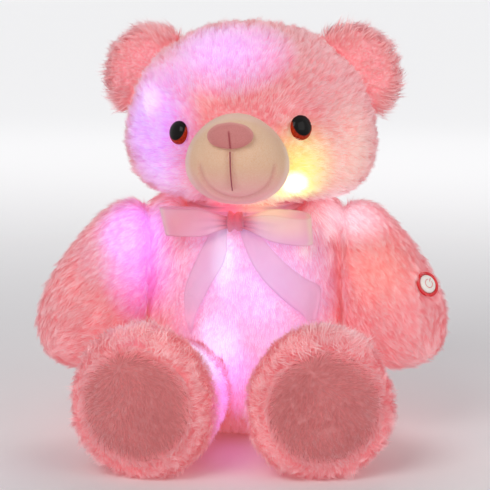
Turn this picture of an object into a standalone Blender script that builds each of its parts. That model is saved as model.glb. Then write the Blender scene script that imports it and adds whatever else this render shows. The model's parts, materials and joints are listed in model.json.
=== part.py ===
"""A seated plush bear that lights up from inside, built piece by piece.

Units are metres. The bear faces -Y, +Z is up, and it sits on Z = 0. Left and right are the bear's own:
its left is +X. The torso's sizes count from the neck's axis, the head's from the same axis before the
head is turned, and a limb's from the joint that carries it. The last step moves the whole bear so
that the middle of its box stands over the origin.
"""

import math

import bmesh
import bpy
from mathutils import Matrix, Vector
from mathutils.bvhtree import BVHTree

# Plush, seams and clearances
PLUSH_WALL = 0.008  # backing cloth and pile together
SEAM = 0.0003  # clearance between two pieces that touch
OVERRUN = 0.02  # how far a cutter runs past what it cuts
WELD = 0.00001  # points nearer than this are one point
SIT_DEPTH = 0.016  # how far the torso's lowest point of the form lies under its flat seat
HEAD_SINK = 0.004  # how far the head's form reaches under the neck's seam

# Torso: a pear, widest at the seat
TORSO_OVER_NECK = 0.014  # how far the form reaches above the neck's seam
TORSO_WIDTH = 0.194
TORSO_DEPTH = 0.172
TORSO_SIDES = 8
torso_shares = (
    # height, width, depth
    (0.900, 0.78, 0.71),
    (0.690, 0.98, 0.93),
    (0.330, 1.03, 1.05),
    (0.045, 0.84, 0.84),
)

# Neck, and the ribbon round it
NECK_HEIGHT = 0.208
NECK_RADIUS = 0.052
NECK_GROOVE_RADIUS = 0.078
NECK_OPENING = 0.020  # where the torso and the head open into each other
NECK_GROOVE_LOW = 0.0095  # under the neck's seam
NECK_GROOVE_HIGH = 0.0065  # over the neck's seam
COLLAR_HEIGHT = 0.0145
RIBBON_WIDTH = 0.025
RIBBON_THICKNESS = 0.0006

# Head, in its own frame; its face then turns to the bear's right
HEAD_HEIGHT = 0.1705
HEAD_WIDTH = 0.225
HEAD_DEPTH = 0.188
HEAD_ASIDE = 0.0055
HEAD_YAW = math.radians(-7.5)
HEAD_SIDES = 8
head_shares = (
    (0.88, 0.60, 0.60),
    (0.66, 0.92, 0.93),
    (0.385, 1.02, 1.02),
    (0.16, 0.985, 0.93),
    (0.03, 0.74, 0.68),
)

# Ears
EAR_RADIUS = 0.0435
EAR_THICKNESS = 0.030
EAR_SPREAD = 0.0890
EAR_BACK = 0.008
EAR_HEIGHT = 0.1155
EAR_SIDES = 10
ear_shares = (
    # place from the front, radius
    (0.20, 0.52),
    (0.02, 0.90),
    (0.45, 1.02),
    (0.92, 0.66),
)
EAR_CUP_SHARE = 0.26
EAR_BACK_SHARE = 1.0

# Muzzle, nose and mouth
MUZZLE_WIDTH = 0.090
MUZZLE_HEIGHT = 0.080
MUZZLE_FRONT = 0.138
MUZZLE_LENGTH = 0.072
MUZZLE_PLACE = 0.0490
MUZZLE_SIDES = 12
MUZZLE_TAPER = 0.14  # how much narrower the top is than the middle
muzzle_shares = (
    # place from the front, width, height, lift
    (0.05, 0.52, 0.46, 0.16),
    (0.22, 0.86, 0.82, 0.10),
    (0.50, 1.00, 1.00, 0.02),
    (0.85, 1.06, 1.06, 0.00),
)
NOSE_WIDTH = 0.045
NOSE_HEIGHT = 0.024
NOSE_THICKNESS = 0.014
NOSE_PLACE = 0.0742
NOSE_SIDES = 10
THREAD_RADIUS = 0.0006
MOUTH_LENGTH = 0.034
MOUTH_POINTS = 9

# Eyes
EYE_SPREAD = 0.0518
EYE_PLACE = 0.0733
EYE_TILT = 0.0028
EYE_RADIUS = 0.0085
EYE_HEIGHT = 0.0058
EYE_SEAT = 0.001
EYE_STEM_RADIUS = 0.0022
EYE_STEM_LENGTH = 0.0155
EYE_STEPS = 12
WASHER_RADIUS = 0.0068
WASHER_THICKNESS = 0.0014
WASHER_STEPS = 12

# Arms: the shoulder's seam is flat, in the plane X = SHOULDER_OUT
SHOULDER_OUT = 0.0885
SHOULDER_FORWARD = 0.003
SHOULDER_HEIGHT = 0.163
ARM_REACH_LEFT = 0.0605
ARM_REACH_RIGHT = 0.0665
ARM_FORWARD = 0.048
ARM_DROP = 0.102
ARM_RADIUS = 0.0465
ARM_SIDES = 6
arm_shares = (
    # outward, forward, down, radius
    (0.00, 0.00, -0.20, 0.93),
    (0.43, 0.33, 0.18, 1.00),
    (0.83, 0.72, 0.54, 1.04),
    (0.97, 1.00, 0.88, 0.72),
)
ARM_ROOT = 0.024
ARM_TIP_SHARE = 1.0
SHOULDER_WIRE_HOLE = 0.005

# Legs, pointing forward from the hip before they are splayed
HIP_OUT = 0.0475
HIP_FORWARD = 0.034
HIP_HEIGHT = 0.0455
LEG_LENGTH = 0.163
LEG_RADIUS = 0.0445
FOOT_WIDTH = 0.124
FOOT_HEIGHT = 0.131
FOOT_LIFT = 0.0185
LEG_SPLAY_LEFT = math.radians(6.5)
LEG_SPLAY_RIGHT = math.radians(16.0)
LEG_RAISE = math.radians(12.0)
LEG_SIDES = 6
HIP_CLEAR = 0.0031  # room round a leg's root in its socket
leg_shares = (
    # forward, radius against the leg's, how much of the foot's size and lift
    (-0.05, 0.92, 0.00),
    (0.42, 1.00, 0.06),
    (0.80, 1.02, 0.98),
    (0.965, 1.01, 0.98),
)
LEG_ROOT = 0.040
FOOT_SPREAD_SHARE = 0.09  # how much wider the foot is at its bottom than in its middle
SOLE_RADIUS = 0.050
SOLE_THICKNESS = 0.009
SOLE_FRONT = 0.1645
SOLE_STEPS = 18
sole_shares = ((0.0, 0.0), (0.60, 0.12), (0.90, 0.45), (1.0, 0.86))

# Bow
KNOT_SIZE = (0.017, 0.020, 0.021)
KNOT_ASIDE = -0.0086
KNOT_CLEAR = 0.0006
BOW_FORWARD = 0.0115
KNOT_DROP = 0.0085
LOOP_THROAT_SHARE = 0.45
LOOP_GAP = 0.011
LOOP_RIGHT_END = -0.0705
LOOP_RIGHT_DROP = -0.0015
LOOP_LEFT_END = 0.0585
LOOP_LEFT_DROP = 0.0085
LOOP_POINTS = 7
TAIL_POINTS = 8
TAIL_ACROSS = 3
TAIL_CLEAR = 0.0012
TAIL_RIGHT = ((-0.0155, 0.1868), (-0.0306, 0.168), (-0.0475, 0.132), (-0.049, 0.105))
TAIL_LEFT = ((0.0, 0.1874), (0.014, 0.170), (0.034, 0.143), (0.055, 0.118))

# Zip in the back
ZIP_LENGTH = 0.100
ZIP_LOW = 0.049
ZIP_TAPE_WIDTH = 0.0125
ZIP_TAPE_THICKNESS = 0.0008
ZIP_SLIT = 0.0012
ZIP_TOOTH = 0.0022
ZIP_TOOTH_PITCH = 0.0062
ZIP_CHAIN_WIDTH = 0.0026
ZIP_CHAIN_THICKNESS = 0.0016
ZIP_STOP = 0.004
SLIDER_LENGTH = 0.011
SLIDER_WIDTH = 0.0086
SLIDER_PLATE = 0.0012
SLIDER_WEB = 0.0005
SLIDER_CLEAR = 0.0004
PULL_LENGTH = 0.022
PULL_WIDTH = 0.006
PULL_THICKNESS = 0.0014
PULL_EYE = 0.0032
PIN_RADIUS = 0.0007
BAIL_WALL = 0.0012

# Pocket behind the zip, and the battery box in it
POCKET_WIDTH = 0.058
POCKET_MOUTH = 0.070
POCKET_DEPTH = 0.036
POCKET_WALL = 0.001
BOX_WALL = 0.0015
BOX_DEPTH = 0.0195
LID_THICKNESS = 0.0018
CELL_RADIUS = 0.0071
CELL_LENGTH = 0.0495
CELL_NUB_RADIUS = 0.0027
CELL_NUB = 0.001
CELL_PITCH = 0.0149
CELL_COUNT = 3
CELL_STEPS = 12
CONTACT_ROOM = 0.003
CONTACT_THICKNESS = 0.0005
CONTACT_WIDTH = 0.009
CONTACT_SPRING_RADIUS = 0.0034
BOARD_ROOM = 0.015
BOARD_THICKNESS = 0.0016
BOARD_LENGTH = 0.030
CHIP_SIZE = 0.006
CHIP_THICKNESS = 0.0015
SCREW_RADIUS = 0.0012
SCREW_HEAD_RADIUS = 0.0025
SCREW_HEAD = 0.0013
SCREW_LENGTH = 0.009
SCREW_BOSS_RADIUS = 0.003
SCREW_ASIDE = 0.0185
SCREW_STEPS = 12

# Lamps and wiring
LAMP_RADIUS = 0.0025
LAMP_FLANGE = 0.0029
LAMP_SLEEVE = 0.0033
LAMP_BULB_LENGTH = 0.0080
LAMP_LENGTH = 0.020
LAMP_STEPS = 6
WIRE_RADIUS = 0.0012
WIRE_CLEAR = 0.0004
WIRE_STEPS = 2

# Push button on the left arm
BUTTON_AIM = (0.53, -0.72, 0.45)
button_shares = (0.84, 0.48, 0.40)
BUTTON_RING_RADIUS = 0.0118
BUTTON_RING_THICKNESS = 0.0018
BUTTON_RADIUS = 0.0084
BUTTON_FLAT_SHARE = 0.82
BUTTON_PROUD = 0.0028
BUTTON_THICKNESS = 0.0034
BUTTON_STEM_RADIUS = 0.0019
BUTTON_STEM_LENGTH = 0.0024
BUTTON_TRAVEL = 0.0015
HOUSING_RADIUS = 0.0098
HOUSING_DEPTH = 0.0120
HOUSING_WALL = 0.0011
SWITCH_BOARD_THICKNESS = 0.0012
SWITCH_SIZE = 0.006
SPRING_RADIUS = 0.0056
SPRING_WIRE = 0.00035
SPRING_TURNS = 4
SPRING_TURN_POINTS = 8
BUTTON_STEPS = 16

# Routes of the wires, as points that each wire runs through. The head's count up from the neck's seam.
TRUNK_ROUTE = (
    (0.0, 0.0455, 0.1205),
    (0.0, 0.0455, 0.152),
    (0.0, 0.036, 0.168),
    (0.0, 0.012, 0.187),
    (0.0, 0.0, 0.199),
    (0.0, 0.0, 0.2078),
)
CHEST_ROUTE = ((0.0, 0.036, 0.168), (-0.006, 0.000, 0.172), (-0.015, -0.038, 0.163))
BELLY_ROUTE = ((0.0, 0.036, 0.168), (0.000, 0.008, 0.135), (-0.008, -0.036, 0.106))
SHOULDER_ROUTE = ((0.0, 0.036, 0.168), (-0.024, 0.020, 0.176), (-0.040, 0.000, 0.174))
ARM_ROUTE = ((0.0, 0.036, 0.168), (0.032, 0.014, 0.1665), (0.066, -0.0028, 0.1632), (0.0878, -0.003, 0.163))
HEAD_ROUTE = ((0.0, 0.0, 0.0009), (0.001, 0.002, 0.014), (0.004, 0.006, 0.032), (0.005, 0.004, 0.054))
CHEEK_LEFT_ROUTE = ((0.004, 0.006, 0.032), (0.026, -0.019, 0.040), (0.038, -0.038, 0.038))
CHEEK_RIGHT_ROUTE = ((0.005, 0.004, 0.054), (-0.020, -0.014, 0.062), (-0.040, -0.032, 0.062))
CROWN_ROUTE = ((0.005, 0.004, 0.054), (0.003, -0.005, 0.084), (-0.002, -0.022, 0.108))
SLEEVE_ROUTE = ((0.0003, 0.0, 0.0), (0.014, -0.006, -0.006), (0.028, -0.014, -0.018), (0.036, -0.018, -0.028))
HAND_ROUTE = ((0.028, -0.014, -0.018), (0.031, -0.016, -0.032), (0.034, -0.018, -0.044))
LAMP_AIMS = {
    "led_chest": (-0.10, -0.98, -0.18),
    "led_belly": (-0.15, -0.96, -0.25),
    "led_shoulder": (-0.88, -0.45, 0.12),
    "led_cheek_left": (0.40, -0.90, -0.15),
    "led_cheek_right": (-0.70, -0.71, 0.0),
    "led_crown": (-0.12, -0.75, 0.65),
    "led_hand": (0.62, -0.55, -0.55),
}

COLOURS = {
    "plush": (0.93, 0.52, 0.55),
    "fill": (0.93, 0.92, 0.90),
    "muzzle_cloth": (0.93, 0.80, 0.74),
    "sole_cloth": (0.86, 0.45, 0.47),
    "nose_flock": (0.78, 0.42, 0.44),
    "maroon_thread": (0.30, 0.05, 0.06),
    "black_plastic": (0.02, 0.015, 0.015),
    "clear_nylon": (0.85, 0.85, 0.82),
    "pink_satin": (0.93, 0.62, 0.68),
    "pocket_cloth": (0.90, 0.72, 0.74),
    "box_plastic": (0.82, 0.82, 0.80),
    "steel": (0.60, 0.60, 0.62),
    "brass": (0.72, 0.55, 0.25),
    "cell_wrap": (0.10, 0.32, 0.20),
    "circuit_board": (0.05, 0.25, 0.12),
    "zip_tape": (0.92, 0.62, 0.66),
    "zip_nylon": (0.90, 0.55, 0.60),
    "zip_metal": (0.88, 0.58, 0.62),
    "lamp_lens": (0.95, 0.93, 0.90),
    "wire_sleeve": (0.80, 0.10, 0.08),
    "red_plastic": (0.75, 0.05, 0.06),
    "white_plastic": (0.92, 0.91, 0.88),
}
ROUGHNESS = {"steel": 0.3, "brass": 0.35, "zip_metal": 0.35, "black_plastic": 0.1, "lamp_lens": 0.1}
METALS = {"steel", "brass", "zip_metal"}


def clear_scene():
    for thing in list(bpy.data.objects):
        bpy.data.objects.remove(thing)


def collection(name, hidden=False):
    made = bpy.data.collections.new(name)
    made.hide_render = hidden
    bpy.context.scene.collection.children.link(made)
    return made


def material(name):
    """One Principled material for each finish, made when it is first asked for."""
    found = bpy.data.materials.get(name)
    if found:
        return found
    made = bpy.data.materials.new(name)
    made.use_nodes = True
    shader = made.node_tree.nodes["Principled BSDF"]
    shader.inputs["Base Color"].default_value = (*COLOURS[name], 1)
    shader.inputs["Roughness"].default_value = ROUGHNESS.get(name, 0.8)
    shader.inputs["Metallic"].default_value = 1 if name in METALS else 0
    made.diffuse_color = (*COLOURS[name], 1)
    return made


def place(name, mesh, finish, holder, origin=(0, 0, 0)):
    """A sub-part: one object, in the bear's collection, under the joint or holder that carries it."""
    made = bpy.data.objects.new(name, mesh)
    made.location = origin
    made.parent = holder
    BEAR.objects.link(made)
    mesh.materials.clear()
    mesh.materials.append(material(finish))
    return made


def cutter(name, mesh, holder, origin=(0, 0, 0)):
    made = bpy.data.objects.new(name, mesh)
    made.location = origin
    made.parent = holder
    made.hide_render = True
    made.display_type = "WIRE"
    CUTTERS.objects.link(made)
    return made


def place_box(name, low, high, finish, holder):
    return place(name, box_mesh(name, low, high), finish, holder)


def box_cutter(name, low, high, holder):
    return cutter(name, box_mesh(name, low, high), holder)


def empty(name, location, holder=None, turn=(0, 0, 0)):
    made = bpy.data.objects.new(name, None)
    made.location = location
    made.rotation_euler = turn
    made.parent = holder
    BEAR.objects.link(made)
    return made


def cut(target, *tools):
    for tool in tools:
        step = target.modifiers.new("cut_by_" + tool.name, "BOOLEAN")
        step.operation = "DIFFERENCE"
        step.solver = "EXACT"
        step.object = tool


def join(target, *tools):
    for tool in tools:
        step = target.modifiers.new("joined_to_" + tool.name, "BOOLEAN")
        step.operation = "UNION"
        step.solver = "EXACT"
        step.object = tool


def subdivide(target, levels):
    step = target.modifiers.new("smooth", "SUBSURF")
    step.levels = levels
    step.render_levels = levels


def swell(target, amount):
    """Moves a surface out along its normals, or in where the amount is negative."""
    step = target.modifiers.new("swell", "DISPLACE")
    step.mid_level = 0
    step.strength = amount


def split_quads(target):
    """Splits bent faces in one fixed way, so that two offsets of a form stay parallel."""
    step = target.modifiers.new("triangles", "TRIANGULATE")
    step.quad_method = "FIXED"


def finished_mesh(target):
    """The object's mesh with its modifiers applied, in its own space."""
    bpy.context.view_layer.update()
    graph = bpy.context.evaluated_depsgraph_get()
    return bpy.data.meshes.new_from_object(target.evaluated_get(graph))


def mesh_from(bm, name):
    bmesh.ops.recalc_face_normals(bm, faces=bm.faces)
    if bm.calc_volume(signed=True) < 0:
        bmesh.ops.reverse_faces(bm, faces=bm.faces)
    mesh = bpy.data.meshes.new(name)
    bm.to_mesh(mesh)
    bm.free()
    mesh.shade_smooth()
    return mesh


def cage(name, sides, start, stations, end):
    """A unit sphere whose rings are pushed out to the stations, from the start pole to the end pole.

    A station is a centre and two half axes. The rings stand a little outside the sizes asked for,
    because subdivision draws a ring of few sides in by a known share.
    """
    drawn_in = (4 + 2 * math.cos(2 * math.pi / sides)) / 6
    bands = len(stations) + 1
    bm = bmesh.new()
    bmesh.ops.create_uvsphere(bm, u_segments=sides, v_segments=bands, radius=1)
    for vert in bm.verts:
        ring = round(math.acos(max(-1, min(1, vert.co.z))) / math.pi * bands)
        if ring == 0:
            vert.co = start
        elif ring == bands:
            vert.co = end
        else:
            centre, across, along = stations[ring - 1]
            angle = math.atan2(vert.co.y, vert.co.x)
            vert.co = centre + (across * math.cos(angle) + along * math.sin(angle)) / drawn_in
    return mesh_from(bm, name)


def upright_stations(shares, height, width, depth, base=0.0, aside=0.0):
    return [
        (
            Vector((aside, 0, base + height * up)),
            Vector((width / 2 * wide, 0, 0)),
            Vector((0, depth / 2 * deep, 0)),
        )
        for up, wide, deep in shares
    ]


def limb_stations(points, radii, start, end):
    """Stations square to a bent limb's axis, each turned as little as can be."""
    chain = [start, *points, end]
    made = []
    for before, point, after, radius in zip(chain, chain[1:], chain[2:], radii):
        along = (after - before).normalized()
        across = Vector((0, 1, 0))
        across = (across - along * across.dot(along)).normalized()
        made.append((point, across * radius, along.cross(across) * radius))
    return made


def box_mesh(name, low, high):
    bpy.ops.mesh.primitive_cube_add(size=1)
    made = bpy.context.object
    mesh = made.data
    bpy.data.objects.remove(made)
    mesh.name = name
    low, high = Vector(low), Vector(high)
    mesh.transform(Matrix.Translation((low + high) / 2) @ Matrix.Diagonal((*(high - low), 1)))
    return mesh


def turned_mesh(name, profile, steps, closed=False):
    """A profile of (radius, height), top to bottom down its outer side, spun about Z."""
    bm = bmesh.new()
    verts = [bm.verts.new((radius, 0, height)) for radius, height in profile]
    ends = verts[1:] + verts[:1] if closed else verts[1:]
    for first, second in zip(verts, ends):
        bm.edges.new((first, second))
    mesh = bpy.data.meshes.new(name + "_profile")
    bm.to_mesh(mesh)
    bm.free()
    spun = bpy.data.objects.new(name + "_spin", mesh)
    CUTTERS.objects.link(spun)
    screw = spun.modifiers.new("spin", "SCREW")
    screw.steps = steps
    screw.render_steps = steps
    screw.use_merge_vertices = True
    screw.merge_threshold = WELD
    made = finished_mesh(spun)
    bpy.data.objects.remove(spun)
    made.name = name
    bm = bmesh.new()
    bm.from_mesh(made)
    return mesh_from(bm, name)


def rod_mesh(name, radius, low, high, steps):
    return turned_mesh(name, ((0, high), (radius, high), (radius, low), (0, low)), steps)


def aimed(mesh, place_at, aim):
    """Stands a mesh made about +Z on a place, along an aim."""
    turn = Vector(aim).to_track_quat("Z", "Y").to_matrix().to_4x4()
    mesh.transform(Matrix.Translation(place_at) @ turn)
    return mesh


def smooth_route(points, steps):
    """Points read from a smooth curve that runs through the route's own points."""
    points = [Vector(point) for point in points]
    chain = [2 * points[0] - points[1], *points, 2 * points[-1] - points[-2]]
    read = []
    for a, b, c, d in zip(chain, chain[1:], chain[2:], chain[3:]):
        for step in range(steps):
            t = step / steps
            square = (2 * a - 5 * b + 4 * c - d) * t**2
            cube = (3 * b - a - 3 * c + d) * t**3
            read.append((2 * b + (c - a) * t + square + cube) / 2)
    return read + [points[-1]]


def tube_mesh(name, points, radius, resolution=1):
    curve = bpy.data.curves.new(name, "CURVE")
    curve.dimensions = "3D"
    curve.bevel_depth = radius
    curve.bevel_resolution = resolution
    curve.use_fill_caps = True
    spline = curve.splines.new("POLY")
    spline.points.add(len(points) - 1)
    for knot, point in zip(spline.points, points):
        knot.co = (*point, 1)
    return solid_of_curve(name, curve)


def outline_mesh(name, points, thickness):
    """A flat outline in X and Y, as thick as asked, with its middle at Z = 0."""
    curve = bpy.data.curves.new(name, "CURVE")
    curve.dimensions = "2D"
    curve.fill_mode = "BOTH"
    curve.extrude = thickness / 2
    spline = curve.splines.new("POLY")
    spline.points.add(len(points) - 1)
    for knot, (x, y) in zip(spline.points, points):
        knot.co = (x, y, 0, 1)
    spline.use_cyclic_u = True
    return solid_of_curve(name, curve)


def solid_of_curve(name, curve):
    shape = bpy.data.objects.new(name + "_curve", curve)
    CUTTERS.objects.link(shape)
    made = finished_mesh(shape)
    bpy.data.objects.remove(shape)
    bm = bmesh.new()
    bm.from_mesh(made)
    bmesh.ops.remove_doubles(bm, verts=bm.verts, dist=WELD)
    return mesh_from(bm, name)


def surface_hit(form, origin, aim):
    """Where a ray, in world space, meets a finished form, and the surface's normal there."""
    bpy.context.view_layer.update()
    graph = bpy.context.evaluated_depsgraph_get()
    tree = BVHTree.FromObject(form, graph)
    back = form.matrix_world.inverted()
    local_aim = (back.to_3x3() @ Vector(aim)).normalized()
    hit, normal, _, _ = tree.ray_cast(back @ Vector(origin), local_aim)
    return form.matrix_world @ hit, form.matrix_world.to_3x3() @ normal


def soft_set(name, mesh, holder, wall=PLUSH_WALL):
    """A form's skin, with its hollow cut out, and the stuffing that fills the hollow."""
    skin = place(name + "_skin", mesh.copy(), "plush", holder)
    subdivide(skin, 2)
    hollow = cutter(name + "_hollow", mesh, holder)
    subdivide(hollow, 1)
    swell(hollow, -wall)
    split_quads(hollow)
    cut(skin, hollow)
    fill = place(name + "_stuffing", mesh.copy(), "fill", holder)
    subdivide(fill, 1)
    swell(fill, -wall - SEAM)
    split_quads(fill)
    return skin, fill


def swollen(name, mesh, holder, levels=2, amount=SEAM):
    """A form a seam's width larger, for cutting what meets it."""
    made = cutter(name, mesh, holder)
    subdivide(made, levels)
    swell(made, amount)
    return made


def wire(name, route, holder, end_steps=WIRE_STEPS):
    """A wire's mesh, and the channel that it lies in."""
    points = smooth_route(route, end_steps)
    corner = (WIRE_RADIUS + WIRE_CLEAR) / math.cos(math.pi / 4)
    channel = cutter(name + "_channel", tube_mesh(name + "_channel", points, corner, 0), holder)
    return tube_mesh(name, points, WIRE_RADIUS), channel


def harness(name, routes, holder):
    """Wires that branch from the first one, joined into one harness, and their channels."""
    first, *others = [wire(f"{name}_{count}", route, holder) for count, route in enumerate(routes)]
    made = place(name, first[0], "wire_sleeve", holder)
    for count, (mesh, _) in enumerate(others):
        join(made, cutter(f"{name}_branch_{count}", mesh, holder))
    return made, [channel for _, channel in (first, *others)]


def lamp(name, rear, holder):
    """A 5 mm lamp with its sleeve, whose rear end meets the end of its wire, and its room in the stuffing."""
    aim = Vector(LAMP_AIMS[name]).normalized()
    neck = LAMP_LENGTH - LAMP_BULB_LENGTH
    dome = LAMP_LENGTH - LAMP_RADIUS
    profile = (
        (0, LAMP_LENGTH),
        (LAMP_RADIUS * math.sin(math.pi / 4), dome + LAMP_RADIUS * math.cos(math.pi / 4)),
        (LAMP_RADIUS, dome),
        (LAMP_RADIUS, neck + LAMP_FLANGE / 2),
        (LAMP_FLANGE, neck + LAMP_FLANGE / 2),
        (LAMP_FLANGE, neck),
        (LAMP_SLEEVE, neck),
        (LAMP_SLEEVE, 0),
        (0, 0),
    )
    seat = Vector(rear) + aim * (WIRE_RADIUS + SEAM)
    mesh = aimed(turned_mesh(name, profile, LAMP_STEPS), seat, aim)
    place(name, mesh, "lamp_lens", holder)
    low, high = -WIRE_RADIUS - 2 * SEAM, LAMP_LENGTH + OVERRUN / 2
    room = aimed(rod_mesh(name + "_room", LAMP_SLEEVE + SEAM, low, high, LAMP_STEPS), seat, aim)
    return cutter(name + "_room", room, holder)


def build_torso(bear):
    height = NECK_HEIGHT + TORSO_OVER_NECK
    stations = upright_stations(torso_shares, height, TORSO_WIDTH, TORSO_DEPTH)
    top = Vector((0, 0, height))
    bottom = Vector((0, 0, -SIT_DEPTH))
    mesh = cage("torso", TORSO_SIDES, top, stations, bottom)
    form = swollen("torso_form", mesh.copy(), bear)
    skin, fill = soft_set("torso", mesh, bear)
    reach = TORSO_WIDTH
    floor = box_cutter("floor", (-reach, -reach, -OVERRUN), (reach, reach, 0), bear)
    over = box_cutter("over_neck", (-reach, -reach, NECK_HEIGHT), (reach, reach, NECK_HEIGHT + reach), bear)
    sides = [
        box_cutter(name, (low, -reach, HIP_HEIGHT), (high, reach, height), bear)
        for name, low, high in (
            ("beyond_left_shoulder", SHOULDER_OUT, reach),
            ("beyond_right_shoulder", -reach, -SHOULDER_OUT),
        )
    ]
    cut(skin, floor, over, *sides)
    cut(fill, over)
    return skin, fill, form, floor


def neck_groove(bear):
    low, high = NECK_HEIGHT - NECK_GROOVE_LOW, NECK_HEIGHT + NECK_GROOVE_HIGH
    profile = (
        (NECK_RADIUS, high),
        (NECK_GROOVE_RADIUS, high + NECK_GROOVE_HIGH),
        (NECK_GROOVE_RADIUS, low - NECK_GROOVE_LOW / 2),
        (NECK_RADIUS, low),
    )
    return cutter("neck_groove", turned_mesh("neck_groove", profile, SOLE_STEPS, closed=True), bear)


def neck_opening(bear):
    reach = 2 * PLUSH_WALL
    mesh = rod_mesh("neck_opening", NECK_OPENING, NECK_HEIGHT - reach, NECK_HEIGHT + reach, SOLE_STEPS)
    return cutter("neck_opening", mesh, bear)


def build_head(turn, groove, opening):
    base = NECK_HEIGHT
    stations = upright_stations(head_shares, HEAD_HEIGHT, HEAD_WIDTH, HEAD_DEPTH, base, HEAD_ASIDE)
    top = Vector((HEAD_ASIDE, 0, base + HEAD_HEIGHT))
    bottom = Vector((HEAD_ASIDE, 0, base - HEAD_SINK))
    mesh = cage("head", HEAD_SIDES, top, stations, bottom)
    form = swollen("head_form", mesh.copy(), turn, 2, SEAM)
    skin, fill = soft_set("head", mesh, turn)
    reach = HEAD_WIDTH
    under = box_cutter("under_head", (-reach, -reach, base - reach), (reach, reach, base + SEAM), turn)
    cut(skin, under, groove, opening)
    cut(fill, under)
    return skin, fill, form


def build_ears(turn, form):
    centre_height = NECK_HEIGHT + EAR_HEIGHT
    for name, side in (("ear_left", 1), ("ear_right", -1)):
        middle = Vector((HEAD_ASIDE + side * EAR_SPREAD, EAR_BACK, centre_height))
        front = middle - Vector((0, EAR_THICKNESS / 2, 0))

        def at(share):
            return front + Vector((0, EAR_THICKNESS * share, 0))

        stations = [
            (at(deep), Vector((EAR_RADIUS * wide, 0, 0)), Vector((0, 0, EAR_RADIUS * wide)))
            for deep, wide in ear_shares
        ]
        mesh = cage(name, EAR_SIDES, at(EAR_CUP_SHARE), stations, at(EAR_BACK_SHARE))
        ear = place(name, mesh, "plush", turn)
        subdivide(ear, 1)
        cut(ear, form)


def build_muzzle(turn, form):
    centre = Vector((HEAD_ASIDE, -MUZZLE_FRONT, NECK_HEIGHT + MUZZLE_PLACE))

    def at(deep, lift):
        return centre + Vector((0, MUZZLE_LENGTH * deep, MUZZLE_HEIGHT * lift))

    stations = [
        (at(deep, lift), Vector((MUZZLE_WIDTH / 2 * wide, 0, 0)), Vector((0, 0, MUZZLE_HEIGHT / 2 * high)))
        for deep, wide, high, lift in muzzle_shares
    ]
    mesh = cage("muzzle", MUZZLE_SIDES, at(0, muzzle_shares[0][3]), stations, at(1, 0))
    for vert in mesh.vertices:
        up = (vert.co.z - centre.z) / (MUZZLE_HEIGHT / 2)
        vert.co.x = HEAD_ASIDE + (vert.co.x - HEAD_ASIDE) * (1 - MUZZLE_TAPER * up)
    muzzle = place("muzzle", mesh.copy(), "muzzle_cloth", turn)
    subdivide(muzzle, 1)
    cut(muzzle, form)
    shape = swollen("muzzle_form", mesh, turn, 1)

    nose_height = NECK_HEIGHT + NOSE_PLACE
    from_front = turn.matrix_world @ Vector((HEAD_ASIDE, -HEAD_DEPTH, nose_height))
    into_face = turn.matrix_world.to_3x3() @ Vector((0, 1, 0))
    seat = turn.matrix_world.inverted() @ surface_hit(shape, from_front, into_face)[0]
    bm = bmesh.new()
    bmesh.ops.create_uvsphere(bm, u_segments=NOSE_SIDES, v_segments=NOSE_SIDES // 2, radius=1 / 2)
    bmesh.ops.scale(bm, verts=bm.verts, vec=(NOSE_WIDTH, NOSE_THICKNESS, NOSE_HEIGHT))
    bmesh.ops.translate(bm, verts=bm.verts, vec=seat)
    nose = place("nose", mesh_from(bm, "nose"), "nose_flock", turn)
    cut(nose, shape)

    points = []
    for count in range(MOUTH_POINTS):
        down = nose_height - NOSE_HEIGHT / 2 - SEAM - MOUTH_LENGTH * count / (MOUTH_POINTS - 1)
        start = turn.matrix_world @ Vector((HEAD_ASIDE, -HEAD_DEPTH, down))
        hit, normal = surface_hit(shape, start, into_face)
        points.append(turn.matrix_world.inverted() @ (hit + normal * (THREAD_RADIUS + SEAM)))
    place("mouth_stitch", tube_mesh("mouth_stitch", points, THREAD_RADIUS, 0), "maroon_thread", turn)


def eye_profile():
    """A domed button with its stem, about +Z, with the plane that it seats on at Z = 0."""
    arc = [
        (EYE_RADIUS * math.sin(angle), EYE_HEIGHT * math.cos(angle))
        for angle in (math.pi / 2 * step / 4 for step in range(5))
    ]
    arc[-1] = (EYE_RADIUS, SEAM)
    stem = ((EYE_STEM_RADIUS, 0), (EYE_STEM_RADIUS, -EYE_STEM_LENGTH), (0, -EYE_STEM_LENGTH))
    return (*arc, (EYE_RADIUS, 0), *stem)


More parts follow.
